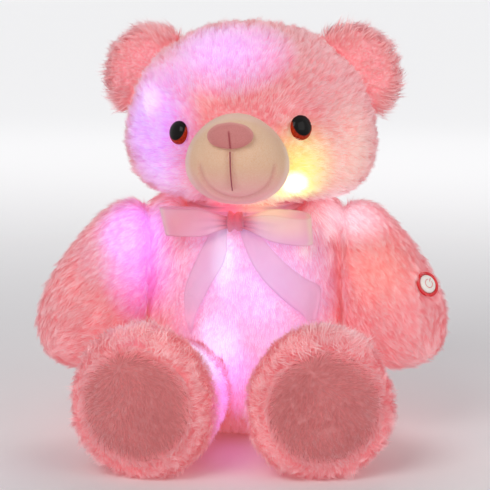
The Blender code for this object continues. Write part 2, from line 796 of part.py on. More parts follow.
def build_eyes(turn, form, skin, fill):
    """Each eye seats on the face where a level ray out of the head's middle meets it."""
    for side, eye_name in ((1, "eye_left"), (-1, "eye_right")):
        washer_name = eye_name.replace("eye", "eye_washer")
        height = NECK_HEIGHT + EYE_PLACE + side * EYE_TILT
        in_front = turn.matrix_world @ Vector((HEAD_ASIDE + side * EYE_SPREAD, -HEAD_DEPTH, height))
        into_face = turn.matrix_world.to_3x3() @ Vector((0, 1, 0))
        hit, normal = surface_hit(form, in_front, into_face)
        hit = turn.matrix_world.inverted() @ hit
        aim = turn.matrix_world.to_3x3().inverted() @ normal
        seat = hit - aim * EYE_SEAT
        eye = aimed(turned_mesh(eye_name, eye_profile(), EYE_STEPS), seat, aim)
        place(eye_name, eye, "black_plastic", turn)
        low = EYE_SEAT - PLUSH_WALL - 2 * SEAM - WASHER_THICKNESS
        ring = (
            (EYE_STEM_RADIUS + SEAM, low + WASHER_THICKNESS),
            (WASHER_RADIUS, low + WASHER_THICKNESS),
            (WASHER_RADIUS, low),
            (EYE_STEM_RADIUS + SEAM, low),
        )
        washer = aimed(turned_mesh(washer_name, ring, WASHER_STEPS, closed=True), seat, aim)
        place(washer_name, washer, "clear_nylon", turn)
        hole = EYE_STEM_RADIUS + 2 * SEAM
        steps = (
            (0, OVERRUN),
            (EYE_RADIUS + SEAM, OVERRUN),
            (EYE_RADIUS + SEAM, -SEAM),
            (hole, -SEAM),
            (hole, low + WASHER_THICKNESS + SEAM),
            (WASHER_RADIUS + SEAM, low + WASHER_THICKNESS + SEAM),
            (WASHER_RADIUS + SEAM, low - SEAM),
            (hole, low - SEAM),
            (hole, -EYE_STEM_LENGTH - SEAM),
            (0, -EYE_STEM_LENGTH - SEAM),
        )
        room = aimed(turned_mesh(eye_name + "_room", steps, WASHER_STEPS), seat, aim)
        room = cutter(eye_name + "_room", room, turn)
        cut(skin, room)
        cut(fill, room)


def arm_mesh(name, side, reach):
    """An arm's cage about its shoulder."""

    def at(out, forward, down):
        return Vector((side * reach * out, -ARM_FORWARD * forward, -ARM_DROP * down))

    points = [at(out, forward, down) for out, forward, down, _ in arm_shares]
    radii = [ARM_RADIUS * wide for *_, wide in arm_shares]
    start = points[0] - Vector((side * ARM_ROOT, 0, -ARM_ROOT / 2))
    end = at(ARM_TIP_SHARE, ARM_TIP_SHARE, ARM_TIP_SHARE)
    return cage(name, ARM_SIDES, start, limb_stations(points, radii, start, end), end)


def build_arm(name, side, reach, shoulder):
    mesh = arm_mesh(name, side, reach)
    skin, fill = soft_set(name, mesh, shoulder)
    reach_in = ARM_ROOT + ARM_RADIUS * 2
    low, high = sorted((side * SEAM, -side * reach_in))
    inside = cutter(
        name + "_seam_plane",
        box_mesh(name, (low, -reach_in, -reach_in - ARM_DROP), (high, reach_in, reach_in)),
        shoulder,
    )
    cut(skin, inside)
    cut(fill, inside)
    return skin, fill


def build_leg(name, side, splay, hip, torso_skin, torso_fill, floor):
    def at(forward, foot):
        return Vector((0, -LEG_LENGTH * forward, FOOT_LIFT * foot))

    turn = Matrix.Rotation(side * splay, 4, "Z")
    stations = []
    for forward, wide, foot in leg_shares:
        half_width = LEG_RADIUS + (FOOT_WIDTH / 2 - LEG_RADIUS) * foot
        half_height = LEG_RADIUS + (FOOT_HEIGHT / 2 - LEG_RADIUS) * foot
        across, up = Vector((half_width * wide, 0, 0)), Vector((0, 0, half_height * wide))
        stations.append((at(forward, foot), across, up))
    back = Vector((0, LEG_ROOT, 0))
    mesh = cage(name, LEG_SIDES, back, stations, at(1, 1))
    for vert in mesh.vertices:
        down = (FOOT_LIFT - vert.co.z) / (FOOT_HEIGHT / 2)
        foot = min(1, max(0, -vert.co.y / LEG_LENGTH))
        vert.co.x *= 1 + FOOT_SPREAD_SHARE * down * foot
    mesh.transform(turn)
    raised = empty(name + "_raised", (0, 0, 0), hip, (-LEG_RAISE, 0, 0))
    for count, holder in enumerate((hip, raised)):
        sweep = swollen(f"{name}_sweep_{count}", mesh.copy(), holder, 1, HIP_CLEAR)
        cut(torso_skin, sweep)
        cut(torso_fill, sweep)
    skin, fill = soft_set(name, mesh, hip)
    cut(skin, floor)

    foot_middle = turn @ Vector((0, 0, FOOT_LIFT))
    outward = turn.to_3x3() @ Vector((0, -1, 0))
    sole_back = SOLE_FRONT - SOLE_THICKNESS
    profile = [(SOLE_RADIUS * wide, SOLE_FRONT - SOLE_THICKNESS * deep) for wide, deep in sole_shares]
    profile += [(SOLE_RADIUS, sole_back), (0, sole_back)]
    sole_name = name.replace("leg", "sole")
    sole = aimed(turned_mesh(sole_name, profile, SOLE_STEPS), foot_middle, outward)
    place(sole_name, sole, "sole_cloth", hip)
    beyond = LEG_LENGTH + OVERRUN
    room = rod_mesh(name + "_front", SOLE_RADIUS + SEAM, sole_back - PLUSH_WALL, beyond, SOLE_STEPS)
    cut(skin, cutter(name + "_front", aimed(room, foot_middle, outward), hip))
    behind = rod_mesh(name + "_behind_sole", SOLE_RADIUS * 2, sole_back - SEAM, beyond, SOLE_STEPS)
    cut(fill, cutter(name + "_behind_sole", aimed(behind, foot_middle, outward), hip))
    return skin, fill


def build_collar(bear):
    inner = (NECK_RADIUS + SEAM) / math.cos(math.pi / SOLE_STEPS)
    outer = inner + 2 * RIBBON_THICKNESS
    low = NECK_HEIGHT - NECK_GROOVE_LOW + SEAM
    high = low + COLLAR_HEIGHT
    ring = ((inner, high), (outer, high), (outer, low), (inner, low))
    place("ribbon_collar", turned_mesh("ribbon_collar", ring, SOLE_STEPS, closed=True), "pink_satin", bear)
    return outer


def strip_mesh(name, rows):
    """A thin open surface through rows of points, as a ribbon lies."""
    bm = bmesh.new()
    grid = [[bm.verts.new(point) for point in row] for row in rows]
    for first, second in zip(grid, grid[1:]):
        for a, b, c, d in zip(first, first[1:], second[1:], second):
            bm.faces.new((a, b, c, d))
    mesh = bpy.data.meshes.new(name)
    bm.to_mesh(mesh)
    bm.free()
    mesh.shade_smooth()
    return mesh


def thicken(target, thickness):
    step = target.modifiers.new("thickness", "SOLIDIFY")
    step.thickness = thickness
    step.offset = 0


def build_bow(bear, collar_radius, torso_skin, torso_form):
    width, depth, height = KNOT_SIZE
    middle = Vector((KNOT_ASIDE, -collar_radius - SEAM - depth / 2, NECK_HEIGHT - KNOT_DROP))
    half = Vector(KNOT_SIZE) / 2
    knot = place("bow_knot", box_mesh("bow_knot", middle - half, middle + half), "pink_satin", bear)
    bevel = knot.modifiers.new("round", "BEVEL")
    bevel.width = depth / 4
    bevel.segments = 2
    room = half + Vector((KNOT_CLEAR, KNOT_CLEAR, KNOT_CLEAR))
    cut(torso_skin, cutter("knot_room", box_mesh("knot_room", middle - room, middle + room), bear))

    loops = (
        ("bow_loop_left", LOOP_LEFT_END, LOOP_LEFT_DROP, 1),
        ("bow_loop_right", LOOP_RIGHT_END, LOOP_RIGHT_DROP, -1),
    )
    for name, end, drop, side in loops:
        root = middle.x + side * (width / 2 + SEAM + RIBBON_THICKNESS)
        rows = []
        for count in range(2 * LOOP_POINTS - 1):
            angle = math.pi * (1 - count / (LOOP_POINTS - 1))
            share = (1 + math.cos(angle)) / 2
            x = root + (end - root) * share
            y = middle.y - BOW_FORWARD * share - LOOP_GAP / 2 * math.sin(angle)
            half_height = RIBBON_WIDTH / 2 * min(1, LOOP_THROAT_SHARE + (1 - LOOP_THROAT_SHARE) * 2 * share)
            z = middle.z - drop * share
            if share == 0:
                y = middle.y - math.copysign(2 * RIBBON_THICKNESS, LOOP_POINTS - 1 - count)
            rows.append([Vector((x, y, z + level * half_height)) for level in (-1, 0, 1)])
        thicken(place(name, strip_mesh(name, rows), "pink_satin", bear), RIBBON_THICKNESS)

    for name, route in (("bow_tail_left", TAIL_LEFT), ("bow_tail_right", TAIL_RIGHT)):
        flat = smooth_route([(x, -TORSO_DEPTH, z) for x, z in route], TAIL_POINTS // len(route) + 1)
        rows = []
        for count, point in enumerate(flat):
            before, after = flat[max(count - 1, 0)], flat[min(count + 1, len(flat) - 1)]
            along = (after - before).normalized()
            across = Vector((along.z, 0, -along.x))
            half_width = RIBBON_WIDTH / 2 * min(1, LOOP_THROAT_SHARE + count / (len(flat) - 1))
            levels = [2 * step / (TAIL_ACROSS - 1) - 1 for step in range(TAIL_ACROSS)]
            rows.append([point + across * half_width * level for level in levels])
        tail = place(name, strip_mesh(name, rows), "pink_satin", bear)
        wrap = tail.modifiers.new("lie_on_chest", "SHRINKWRAP")
        wrap.target = torso_form
        wrap.wrap_method = "PROJECT"
        wrap.use_project_y = True
        wrap.use_negative_direction = False
        wrap.use_positive_direction = True
        wrap.offset = TAIL_CLEAR
        thicken(tail, RIBBON_THICKNESS)


def build_zip(bear, skin):
    """Tapes, chain, slider and pull in a slot in the back, and the height of the slider's plane."""
    low, high = ZIP_LOW, ZIP_LOW + ZIP_LENGTH
    tape_in = POCKET_MOUTH + SEAM
    tape_out = tape_in + ZIP_TAPE_THICKNESS
    inner = ZIP_SLIT / 2
    outer = inner + ZIP_TAPE_WIDTH
    slot = box_mesh(
        "zip_slot",
        (-outer - SEAM, tape_in - OVERRUN, low - SEAM),
        (outer + SEAM, TORSO_DEPTH, high + SEAM),
    )
    cut(skin, cutter("zip_slot", slot, bear))
    chain_out = tape_out + SEAM + ZIP_CHAIN_THICKNESS
    for name, side in (("left", 1), ("right", -1)):
        x = sorted((side * inner, side * outer))
        place_box("zip_tape_" + name, (x[0], tape_in, low), (x[1], tape_out, high), "zip_tape", bear)
        run = ZIP_LENGTH - 2 * ZIP_STOP
        teeth = int(run / ZIP_TOOTH_PITCH)
        pitch = run / teeth
        points = [(inner + ZIP_CHAIN_WIDTH, low + ZIP_STOP), (inner + ZIP_CHAIN_WIDTH, high - ZIP_STOP)]
        for count in range(teeth):
            top = high - ZIP_STOP - pitch * count
            points += [
                (inner, top),
                (inner, top - pitch / 2),
                (inner + ZIP_TOOTH / 3, top - pitch / 2),
                (inner + ZIP_TOOTH / 3, top - pitch),
            ]
        points = [(side * x, z) for x, z in points]
        mesh = outline_mesh("zip_teeth_" + name, points, ZIP_CHAIN_THICKNESS)
        turn = Matrix.Rotation(math.pi / 2, 4, "X")
        mesh.transform(Matrix.Translation((0, tape_out + SEAM + ZIP_CHAIN_THICKNESS / 2, 0)) @ turn)
        place("zip_teeth_" + name, mesh, "zip_nylon", bear)

    build_slider(bear, chain_out, high - ZIP_STOP)


def across_zip(mesh, y, z):
    """Lays a piece made about +Z along X, at a depth and a height."""
    mesh.transform(Matrix.Translation((0, y, z)) @ Matrix.Rotation(math.pi / 2, 4, "Y"))
    return mesh


def build_slider(bear, chain_out, top):
    """Two plates joined by a web between the chain's halves, with a bail for the pull."""
    slide = empty("zip_slide", (0, chain_out, top), bear)
    over_low = SLIDER_CLEAR
    over_high = over_low + SLIDER_PLATE
    half = SLIDER_WIDTH / 2
    under = -ZIP_CHAIN_THICKNESS - SEAM - ZIP_TAPE_THICKNESS - SLIDER_CLEAR
    edge = ZIP_SLIT / 2 + ZIP_CHAIN_WIDTH + SLIDER_CLEAR
    ring_out = PIN_RADIUS + SEAM + PULL_THICKNESS / 2
    pin_height = over_high + ring_out + SEAM
    bail_high = pin_height + PIN_RADIUS + BAIL_WALL / 2
    cheek = PULL_EYE / 2 + PIN_RADIUS + SEAM
    middle = -SLIDER_LENGTH / 2

    def slab(name, x_low, x_high, y_low, y_high, z_low=-SLIDER_LENGTH, z_high=0):
        return box_mesh(name, (x_low, y_low, z_low), (x_high, y_high, z_high))

    plate = slab("zip_slider", -half, half, over_low, over_high)
    slider = place("zip_slider", plate, "zip_metal", slide)
    pieces = [
        slab("zip_web", -SLIDER_WEB / 2, SLIDER_WEB / 2, under - SLIDER_PLATE / 2, over_high),
        slab("zip_back", -half, half, under - SLIDER_PLATE, under),
        across_zip(rod_mesh("zip_pin", PIN_RADIUS, -half, half, SCREW_STEPS), pin_height, middle),
    ]
    for side in (1, -1):
        x = sorted((side * edge, side * half))
        pieces.append(slab("zip_flange", *x, over_low - ZIP_CHAIN_THICKNESS, over_high))
        x = sorted((side * cheek, side * half))
        ends = middle - BAIL_WALL, middle + BAIL_WALL
        pieces.append(slab("zip_cheek", *x, over_high - SLIDER_PLATE / 2, bail_high, *ends))
    join(slider, *[cutter(f"slider_{count}", mesh, slide) for count, mesh in enumerate(pieces)])

    turn = empty("zip_pull_turn", (0, pin_height, middle), slide)
    half_eye = PULL_EYE / 2
    thick = PULL_THICKNESS / 2
    shoulder = bail_high - pin_height + BAIL_WALL
    blade = slab("zip_pull", -PULL_WIDTH / 2, PULL_WIDTH / 2, -thick, thick, -PULL_LENGTH, -shoulder)
    pull = place("zip_pull", blade, "zip_metal", turn)
    neck = slab("zip_pull_neck", -half_eye, half_eye, -thick, thick, -2 * shoulder, -PIN_RADIUS)
    eye = across_zip(rod_mesh("zip_pull_eye", ring_out, -half_eye, half_eye, SCREW_STEPS), 0, 0)
    join(pull, cutter("zip_pull_neck", neck, turn), cutter("zip_pull_eye", eye, turn))
    bore = across_zip(rod_mesh("zip_pull_bore", PIN_RADIUS + SEAM, -half, half, SCREW_STEPS), 0, 0)
    cut(pull, cutter("zip_pull_bore", bore, turn))


def build_pocket(bear, skin, fill, trunk_channel):
    half = POCKET_WIDTH / 2
    low, high = ZIP_LOW, ZIP_LOW + ZIP_LENGTH
    inner = POCKET_MOUTH - POCKET_DEPTH
    mouth = (half, POCKET_MOUTH, high)
    pocket = place_box("battery_pocket", (-half, inner, low), mouth, "pocket_cloth", bear)
    hollow = box_cutter(
        "pocket_hollow",
        (-half + POCKET_WALL, inner + POCKET_WALL, low + POCKET_WALL),
        (half - POCKET_WALL, POCKET_MOUTH + OVERRUN, high - POCKET_WALL),
        bear,
    )
    cut(pocket, hollow, trunk_channel)
    room_low = (-half - SEAM, inner - SEAM, low - SEAM)
    cut(skin, box_cutter("pocket_room", room_low, (half + SEAM, POCKET_MOUTH + SEAM, high + SEAM), bear))
    cut(fill, box_cutter("behind_fill", room_low, (half + SEAM, TORSO_DEPTH, high + SEAM), bear))


def build_battery_box(bear, trunk_channel):
    """Three cells side by side, the board over them, and a screwed lid that faces the zip."""
    half = CELL_PITCH * CELL_COUNT / 2 + SEAM + BOX_WALL
    floor_z = ZIP_LOW + POCKET_WALL + SEAM
    bay_low = floor_z + BOX_WALL
    bay_high = bay_low + CELL_LENGTH + CELL_NUB + 2 * CONTACT_ROOM
    rib_high = bay_high + BOX_WALL
    top = rib_high + BOARD_ROOM + BOX_WALL
    back = POCKET_MOUTH - POCKET_DEPTH + POCKET_WALL + SEAM
    front = back + BOX_DEPTH
    case = place_box("battery_box", (-half, back, floor_z), (half, front, top), "box_plastic", bear)
    inside = half - BOX_WALL
    floor_in = back + BOX_WALL
    open_side = front + OVERRUN
    cell_bay = box_cutter("cell_bay", (-inside, floor_in, bay_low), (inside, open_side, bay_high), bear)
    lid_end = top - BOX_WALL
    board_bay = box_cutter("board_bay", (-inside, floor_in, rib_high), (inside, open_side, lid_end), bear)
    cut(case, cell_bay, board_bay, trunk_channel)

    board_middle = rib_high + BOARD_ROOM / 2
    into_lid = Matrix.Translation((SCREW_ASIDE, 0, board_middle)) @ Matrix.Rotation(-math.pi / 2, 4, "X")
    boss = rod_mesh("screw_boss", SCREW_BOSS_RADIUS, back + BOX_WALL / 2, front, SCREW_STEPS)
    boss.transform(into_lid)
    join(case, cutter("screw_boss", boss, bear))
    lid_out = front + SEAM + LID_THICKNESS
    screw_end = lid_out - SCREW_LENGTH
    hole = rod_mesh("screw_hole", SCREW_RADIUS + SEAM, screw_end - SEAM, lid_out + SEAM, SCREW_STEPS)
    hole.transform(into_lid)
    hole = cutter("screw_hole", hole, bear)
    cut(case, hole)
    lid = place_box("battery_lid", (-half, front + SEAM, floor_z), (half, lid_out, top), "box_plastic", bear)
    sink_radius = SCREW_HEAD_RADIUS + SEAM
    sink = rod_mesh("screw_sink", sink_radius, lid_out - SCREW_HEAD, lid_out + OVERRUN, SCREW_STEPS)
    sink.transform(into_lid)
    cut(lid, hole, cutter("screw_sink", sink, bear))
    head_low = lid_out - SCREW_HEAD + SEAM
    profile = (
        (0, lid_out),
        (SCREW_HEAD_RADIUS, lid_out),
        (SCREW_HEAD_RADIUS, head_low),
        (SCREW_RADIUS, head_low),
        (SCREW_RADIUS, screw_end),
        (0, screw_end),
    )
    screw = turned_mesh("battery_lid_screw", profile, SCREW_STEPS)
    screw.transform(into_lid)
    place("battery_lid_screw", screw, "steel", bear)

    cell_low = bay_low + CONTACT_ROOM
    cell_y = back + BOX_WALL + SEAM + CELL_RADIUS
    cell_profile = (
        (0, CELL_LENGTH + CELL_NUB),
        (CELL_NUB_RADIUS, CELL_LENGTH + CELL_NUB),
        (CELL_NUB_RADIUS, CELL_LENGTH),
        (CELL_RADIUS, CELL_LENGTH),
        (CELL_RADIUS, 0),
        (0, 0),
    )
    for count in range(CELL_COUNT):
        x = CELL_PITCH * (count - (CELL_COUNT - 1) / 2)
        name = f"battery_cell_{count + 1}"
        mesh = turned_mesh(name, cell_profile, CELL_STEPS)
        if count % 2:
            mesh.transform(Matrix.Rotation(math.pi, 4, "X"))
            mesh.transform(Matrix.Translation((0, 0, CELL_LENGTH + CELL_NUB)))
        mesh.transform(Matrix.Translation((x, cell_y, cell_low)))
        place(name, mesh, "cell_wrap", bear)

    build_contact(bear, "contact_bridge_top", CELL_PITCH / 2, cell_y, bay_high, -1)
    build_contact(bear, "contact_bridge_bottom", -CELL_PITCH / 2, cell_y, bay_low, 1)

    start = -inside + SEAM
    board_out = floor_in + SEAM + BOARD_THICKNESS
    board = place_box(
        "control_board",
        (start, floor_in + SEAM, rib_high + SEAM),
        (start + BOARD_LENGTH, board_out, top - BOX_WALL - SEAM),
        "circuit_board",
        bear,
    )
    chip_x = start + CHIP_SIZE
    chip = box_cutter(
        "control_chip",
        (chip_x, board_out - BOARD_THICKNESS / 2, board_middle - CHIP_SIZE / 2),
        (chip_x + CHIP_SIZE, board_out + CHIP_THICKNESS, board_middle + CHIP_SIZE / 2),
        bear,
    )
    join(board, chip)


def build_contact(bear, name, x, y, wall, side):
    """A strip across two cells' ends, with the cone of a spring on one of them."""
    low, high = sorted((wall + side * SEAM, wall + side * (SEAM + CONTACT_THICKNESS)))
    half = CELL_PITCH / 2 + CONTACT_SPRING_RADIUS
    deep = CONTACT_WIDTH / 2
    contact = place_box(name, (x - half, y - deep, low), (x + half, y + deep, high), "brass", bear)
    reach = CONTACT_ROOM - 2 * SEAM
    root = CONTACT_THICKNESS / 2
    profile = ((0, reach), (CONTACT_SPRING_RADIUS / 2, reach), (CONTACT_SPRING_RADIUS, root), (0, root))
    cone = turned_mesh(name + "_spring", profile, SCREW_STEPS)
    if side < 0:
        cone.transform(Matrix.Rotation(math.pi, 4, "X"))
    cone.transform(Matrix.Translation((x - side * CELL_PITCH / 2, y, wall + side * SEAM)))
    join(contact, cutter(name + "_spring", cone, bear))


def build_button(shoulder, form_skin, fill, form):
    """Housing, board, spring, cap and ring, about an axis that looks out of the arm."""
    aim = Vector(BUTTON_AIM).normalized()
    out, forward, down = button_shares
    inside = shoulder.matrix_world @ Vector((ARM_REACH_LEFT * out, -ARM_FORWARD * forward, -ARM_DROP * down))
    hit, _ = surface_hit(form, inside, aim)
    at = shoulder.matrix_world.inverted() @ hit
    seat = empty("button_seat", at, shoulder, aim.to_track_quat("Z", "Y").to_euler())

    bore = BUTTON_RADIUS + SEAM
    profile = (
        (bore, BUTTON_RING_THICKNESS),
        (BUTTON_RING_RADIUS, BUTTON_RING_THICKNESS),
        (BUTTON_RING_RADIUS, 0),
        (bore, 0),
    )
    ring = turned_mesh("button_ring", profile, BUTTON_STEPS, closed=True)
    place("button_ring", ring, "red_plastic", seat)
    floor_in = -HOUSING_DEPTH + HOUSING_WALL
    housing_bore = HOUSING_RADIUS - HOUSING_WALL
    cup = (
        (0, floor_in),
        (housing_bore, floor_in),
        (housing_bore, -SEAM),
        (HOUSING_RADIUS, -SEAM),
        (HOUSING_RADIUS, -HOUSING_DEPTH),
        (0, -HOUSING_DEPTH),
    )
    place("switch_housing", turned_mesh("switch_housing", cup, BUTTON_STEPS), "box_plastic", seat)
    board_top = floor_in + SEAM + SWITCH_BOARD_THICKNESS
    disc = rod_mesh("switch_board", housing_bore - SEAM, floor_in + SEAM, board_top, BUTTON_STEPS)
    board = place("switch_board", disc, "circuit_board", seat)
    cap_low = BUTTON_PROUD - BUTTON_THICKNESS
    stem_low = cap_low - BUTTON_STEM_LENGTH
    plunger_top = stem_low - BUTTON_TRAVEL - SEAM
    half = SWITCH_SIZE / 2
    switch_low = board_top - SWITCH_BOARD_THICKNESS / 2
    join(board, box_cutter("push_switch", (-half, -half, switch_low), (half, half, plunger_top), seat))
    slide = empty("button_slide", (0, 0, 0), seat)
    edge = BUTTON_PROUD - BUTTON_THICKNESS / 4
    cap = (
        (0, BUTTON_PROUD),
        (BUTTON_RADIUS * BUTTON_FLAT_SHARE, BUTTON_PROUD),
        (BUTTON_RADIUS, edge),
        (BUTTON_RADIUS, cap_low),
        (BUTTON_STEM_RADIUS, cap_low),
        (BUTTON_STEM_RADIUS, stem_low),
        (0, stem_low),
    )
    place("button_cap", turned_mesh("button_cap", cap, BUTTON_STEPS), "white_plastic", slide)
    low, high = board_top + SEAM + SPRING_WIRE, cap_low - SEAM - SPRING_WIRE
    total = SPRING_TURNS * SPRING_TURN_POINTS
    points = [
        Vector(
            (
                SPRING_RADIUS * math.cos(2 * math.pi * count / SPRING_TURN_POINTS),
                SPRING_RADIUS * math.sin(2 * math.pi * count / SPRING_TURN_POINTS),
                low + (high - low) * count / total,
            )
        )
        for count in range(total + 1)
    ]
    place("button_spring", tube_mesh("button_spring", points, SPRING_WIRE, 0), "steel", seat)
    flange_room = rod_mesh("button_flange_room", BUTTON_RING_RADIUS + SEAM, -SEAM, OVERRUN, BUTTON_STEPS)
    room_low = -HOUSING_DEPTH - SEAM
    housing_room = rod_mesh("housing_room", HOUSING_RADIUS + SEAM, room_low, OVERRUN, BUTTON_STEPS)
    housing_room = cutter("housing_room", housing_room, seat)
    cut(form_skin, cutter("button_flange_room", flange_room, seat), housing_room)
    cut(fill, housing_room)
    return at - aim * (HOUSING_DEPTH + SEAM + WIRE_RADIUS)


def build_torso_wiring(bear, fill, skin):
    routes = (TRUNK_ROUTE, CHEST_ROUTE, BELLY_ROUTE, SHOULDER_ROUTE, ARM_ROUTE)
    _, channels = harness("wires_torso", routes, bear)
    cut(fill, *channels)
    cut(fill, lamp("led_chest", CHEST_ROUTE[-1], bear))
    cut(fill, lamp("led_belly", BELLY_ROUTE[-1], bear))
    cut(fill, lamp("led_shoulder", SHOULDER_ROUTE[-1], bear))
    passage = rod_mesh("shoulder_passage", SHOULDER_WIRE_HOLE, 0, OVERRUN, SCREW_STEPS)
    start = (SHOULDER_OUT - OVERRUN + SEAM, -SHOULDER_FORWARD, SHOULDER_HEIGHT)
    cut(skin, cutter("shoulder_passage", aimed(passage, start, (1, 0, 0)), bear))
    return channels[0]


def build_head_wiring(turn, fill):
    routes = (HEAD_ROUTE, CHEEK_LEFT_ROUTE, CHEEK_RIGHT_ROUTE, CROWN_ROUTE)
    neck = empty("head_neck", (0, 0, NECK_HEIGHT), turn)
    _, channels = harness("wires_head", routes, neck)
    cut(fill, *channels)
    cut(fill, lamp("led_cheek_left", CHEEK_LEFT_ROUTE[-1], neck))
    cut(fill, lamp("led_cheek_right", CHEEK_RIGHT_ROUTE[-1], neck))
    cut(fill, lamp("led_crown", CROWN_ROUTE[-1], neck))


def build_arm_wiring(shoulder, fill, housing_end):
    routes = ((*SLEEVE_ROUTE, tuple(housing_end)), HAND_ROUTE)
    _, channels = harness("wires_arm_left", routes, shoulder)
    cut(fill, *channels)
    cut(fill, lamp("led_hand", HAND_ROUTE[-1], shoulder))


def centre_over_origin(bear):
    """Moves the bear until the middle of its box, seen from above, is over the origin."""
    bpy.context.view_layer.update()
    graph = bpy.context.evaluated_depsgraph_get()
    points = [
        part.matrix_world @ vert.co
        for part in (thing.evaluated_get(graph) for thing in BEAR.objects if thing.type == "MESH")
        for vert in part.data.vertices
    ]
    for axis in (0, 1):
        values = [point[axis] for point in points]
        bear.location[axis] -= (min(values) + max(values)) / 2


def build_bear():
    bear = empty("bear", (0, 0, 0))
    torso_skin, torso_fill, torso_form, floor = build_torso(bear)
    groove = neck_groove(bear)
    opening = neck_opening(bear)
    cut(torso_skin, groove, opening)
    cut(torso_fill, groove)
    for name, side, splay in (("leg_left", 1, LEG_SPLAY_LEFT), ("leg_right", -1, LEG_SPLAY_RIGHT)):
        hip = empty(name.replace("leg", "hip"), (side * HIP_OUT, -HIP_FORWARD, HIP_HEIGHT), bear)
        build_leg(name, side, splay, hip, torso_skin, torso_fill, floor)
    arms = {}
    for name, side, reach in (("arm_left", 1, ARM_REACH_LEFT), ("arm_right", -1, ARM_REACH_RIGHT)):
        place_at = (side * SHOULDER_OUT, -SHOULDER_FORWARD, SHOULDER_HEIGHT)
        shoulder = empty(name.replace("arm", "shoulder"), place_at, bear)
        arms[name] = (shoulder, *build_arm(name, side, reach, shoulder))

    turn = empty("head_turn", (0, 0, 0), bear, (0, 0, HEAD_YAW))
    bpy.context.view_layer.update()
    head_skin, head_fill, head_form = build_head(turn, groove, opening)
    build_ears(turn, head_form)
    build_muzzle(turn, head_form)
    build_eyes(turn, head_form, head_skin, head_fill)
    build_head_wiring(turn, head_fill)

    trunk_channel = build_torso_wiring(bear, torso_fill, torso_skin)
    build_pocket(bear, torso_skin, torso_fill, trunk_channel)
    build_battery_box(bear, trunk_channel)
    build_zip(bear, torso_skin)
    collar_radius = build_collar(bear)
    build_bow(bear, collar_radius, torso_skin, torso_form)

    shoulder, skin, fill = arms["arm_left"]
    form = cutter("arm_left_form", arm_mesh("arm_left_form", 1, ARM_REACH_LEFT), shoulder)
    subdivide(form, 2)
    housing_end = build_button(shoulder, skin, fill, form)
    build_arm_wiring(shoulder, fill, housing_end)
    centre_over_origin(bear)


clear_scene()
BEAR = collection("plush_bear_night_light")
CUTTERS = collection("cutters", hidden=True)
build_bear()
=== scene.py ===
"""The looks of a plush bear night light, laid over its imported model.

The padded forms are drawn over the model's own solids, then the pile is grown on them in tufts. The glow
of the lamps is part of the pile's colour, so it turns with the head and the limbs. Units are metres, the
bear faces -Y and sits on Z = 0. Left and right are the bear's own.
"""

import json
import math
import random
from functools import partial

import bmesh
import bpy
from mathutils import Matrix, Vector, noise
from mathutils.bvhtree import BVHTree

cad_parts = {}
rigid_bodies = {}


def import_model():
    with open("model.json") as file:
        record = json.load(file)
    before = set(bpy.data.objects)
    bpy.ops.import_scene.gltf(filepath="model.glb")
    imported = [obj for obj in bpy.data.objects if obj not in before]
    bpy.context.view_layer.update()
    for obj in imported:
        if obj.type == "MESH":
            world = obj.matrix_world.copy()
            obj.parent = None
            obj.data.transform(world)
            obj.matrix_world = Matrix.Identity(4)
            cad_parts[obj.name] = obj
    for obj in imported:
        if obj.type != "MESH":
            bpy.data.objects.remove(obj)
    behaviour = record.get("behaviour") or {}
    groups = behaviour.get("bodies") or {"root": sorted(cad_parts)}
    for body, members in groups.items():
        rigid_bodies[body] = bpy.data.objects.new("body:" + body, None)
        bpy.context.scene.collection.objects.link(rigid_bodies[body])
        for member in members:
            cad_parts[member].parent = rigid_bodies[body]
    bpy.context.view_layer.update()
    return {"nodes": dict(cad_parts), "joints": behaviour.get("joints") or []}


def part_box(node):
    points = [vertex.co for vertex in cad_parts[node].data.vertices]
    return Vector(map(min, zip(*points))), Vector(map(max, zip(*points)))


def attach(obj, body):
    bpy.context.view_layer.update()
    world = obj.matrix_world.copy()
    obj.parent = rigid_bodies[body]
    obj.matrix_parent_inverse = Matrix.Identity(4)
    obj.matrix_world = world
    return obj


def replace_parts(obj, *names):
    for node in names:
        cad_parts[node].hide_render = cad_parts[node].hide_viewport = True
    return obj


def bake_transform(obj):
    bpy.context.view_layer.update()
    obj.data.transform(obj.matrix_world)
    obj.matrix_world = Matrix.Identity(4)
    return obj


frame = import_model()

bl_info = {
    "name": "Plush bear night light",
    "version": (1, 0, 0),
    "blender": (4, 5, 0),
    "location": "3D View > Sidebar > Plush Bear",
    "description": "Dresses the packed bear in plush, ribbon, buttons and thread, and lights it",
    "category": "Object",
}

JOINTS = {joint["name"]: joint for joint in frame["joints"]}
NECK = Vector(JOINTS["head_turn"]["pos_m"])
BOW = ("bow_knot", "bow_loop_left", "bow_loop_right", "bow_tail_left", "bow_tail_right")
ZIP = ("zip_tape_left", "zip_tape_right", "zip_teeth_left", "zip_teeth_right", "zip_slider")
SKINS = ("torso_skin", "head_skin", "arm_left_skin", "arm_right_skin", "leg_left_skin", "leg_right_skin")
FLOOR_CLEAR = 0.0006
Z_AXIS = Vector((0, 0, 1))
LEFT_AND_RIGHT = (("left", 1), ("right", -1))
RIBBON_WIDTH = 0.025
SATIN_THICKNESS = 0.0004
MERGED = 1e-6

# Unless it is told where to start, noise_vector starts from the clock, and the pile lies otherwise each run.
noise.seed_set(7)


def shown(red, green, blue):
    """A colour as it looks on a screen, turned into the values that Blender mixes."""
    return tuple(v / 12.92 if v <= 0.04045 else ((v + 0.055) / 1.055) ** 2.4 for v in (red, green, blue))


def colour(name, default, description):
    return bpy.props.FloatVectorProperty(
        name=name, description=description, default=shown(*default), subtype="COLOR", size=3, min=0, max=1
    )


def length(name, default, description):
    return bpy.props.FloatProperty(
        name=name, description=description, default=default, min=0, unit="LENGTH", precision=4
    )


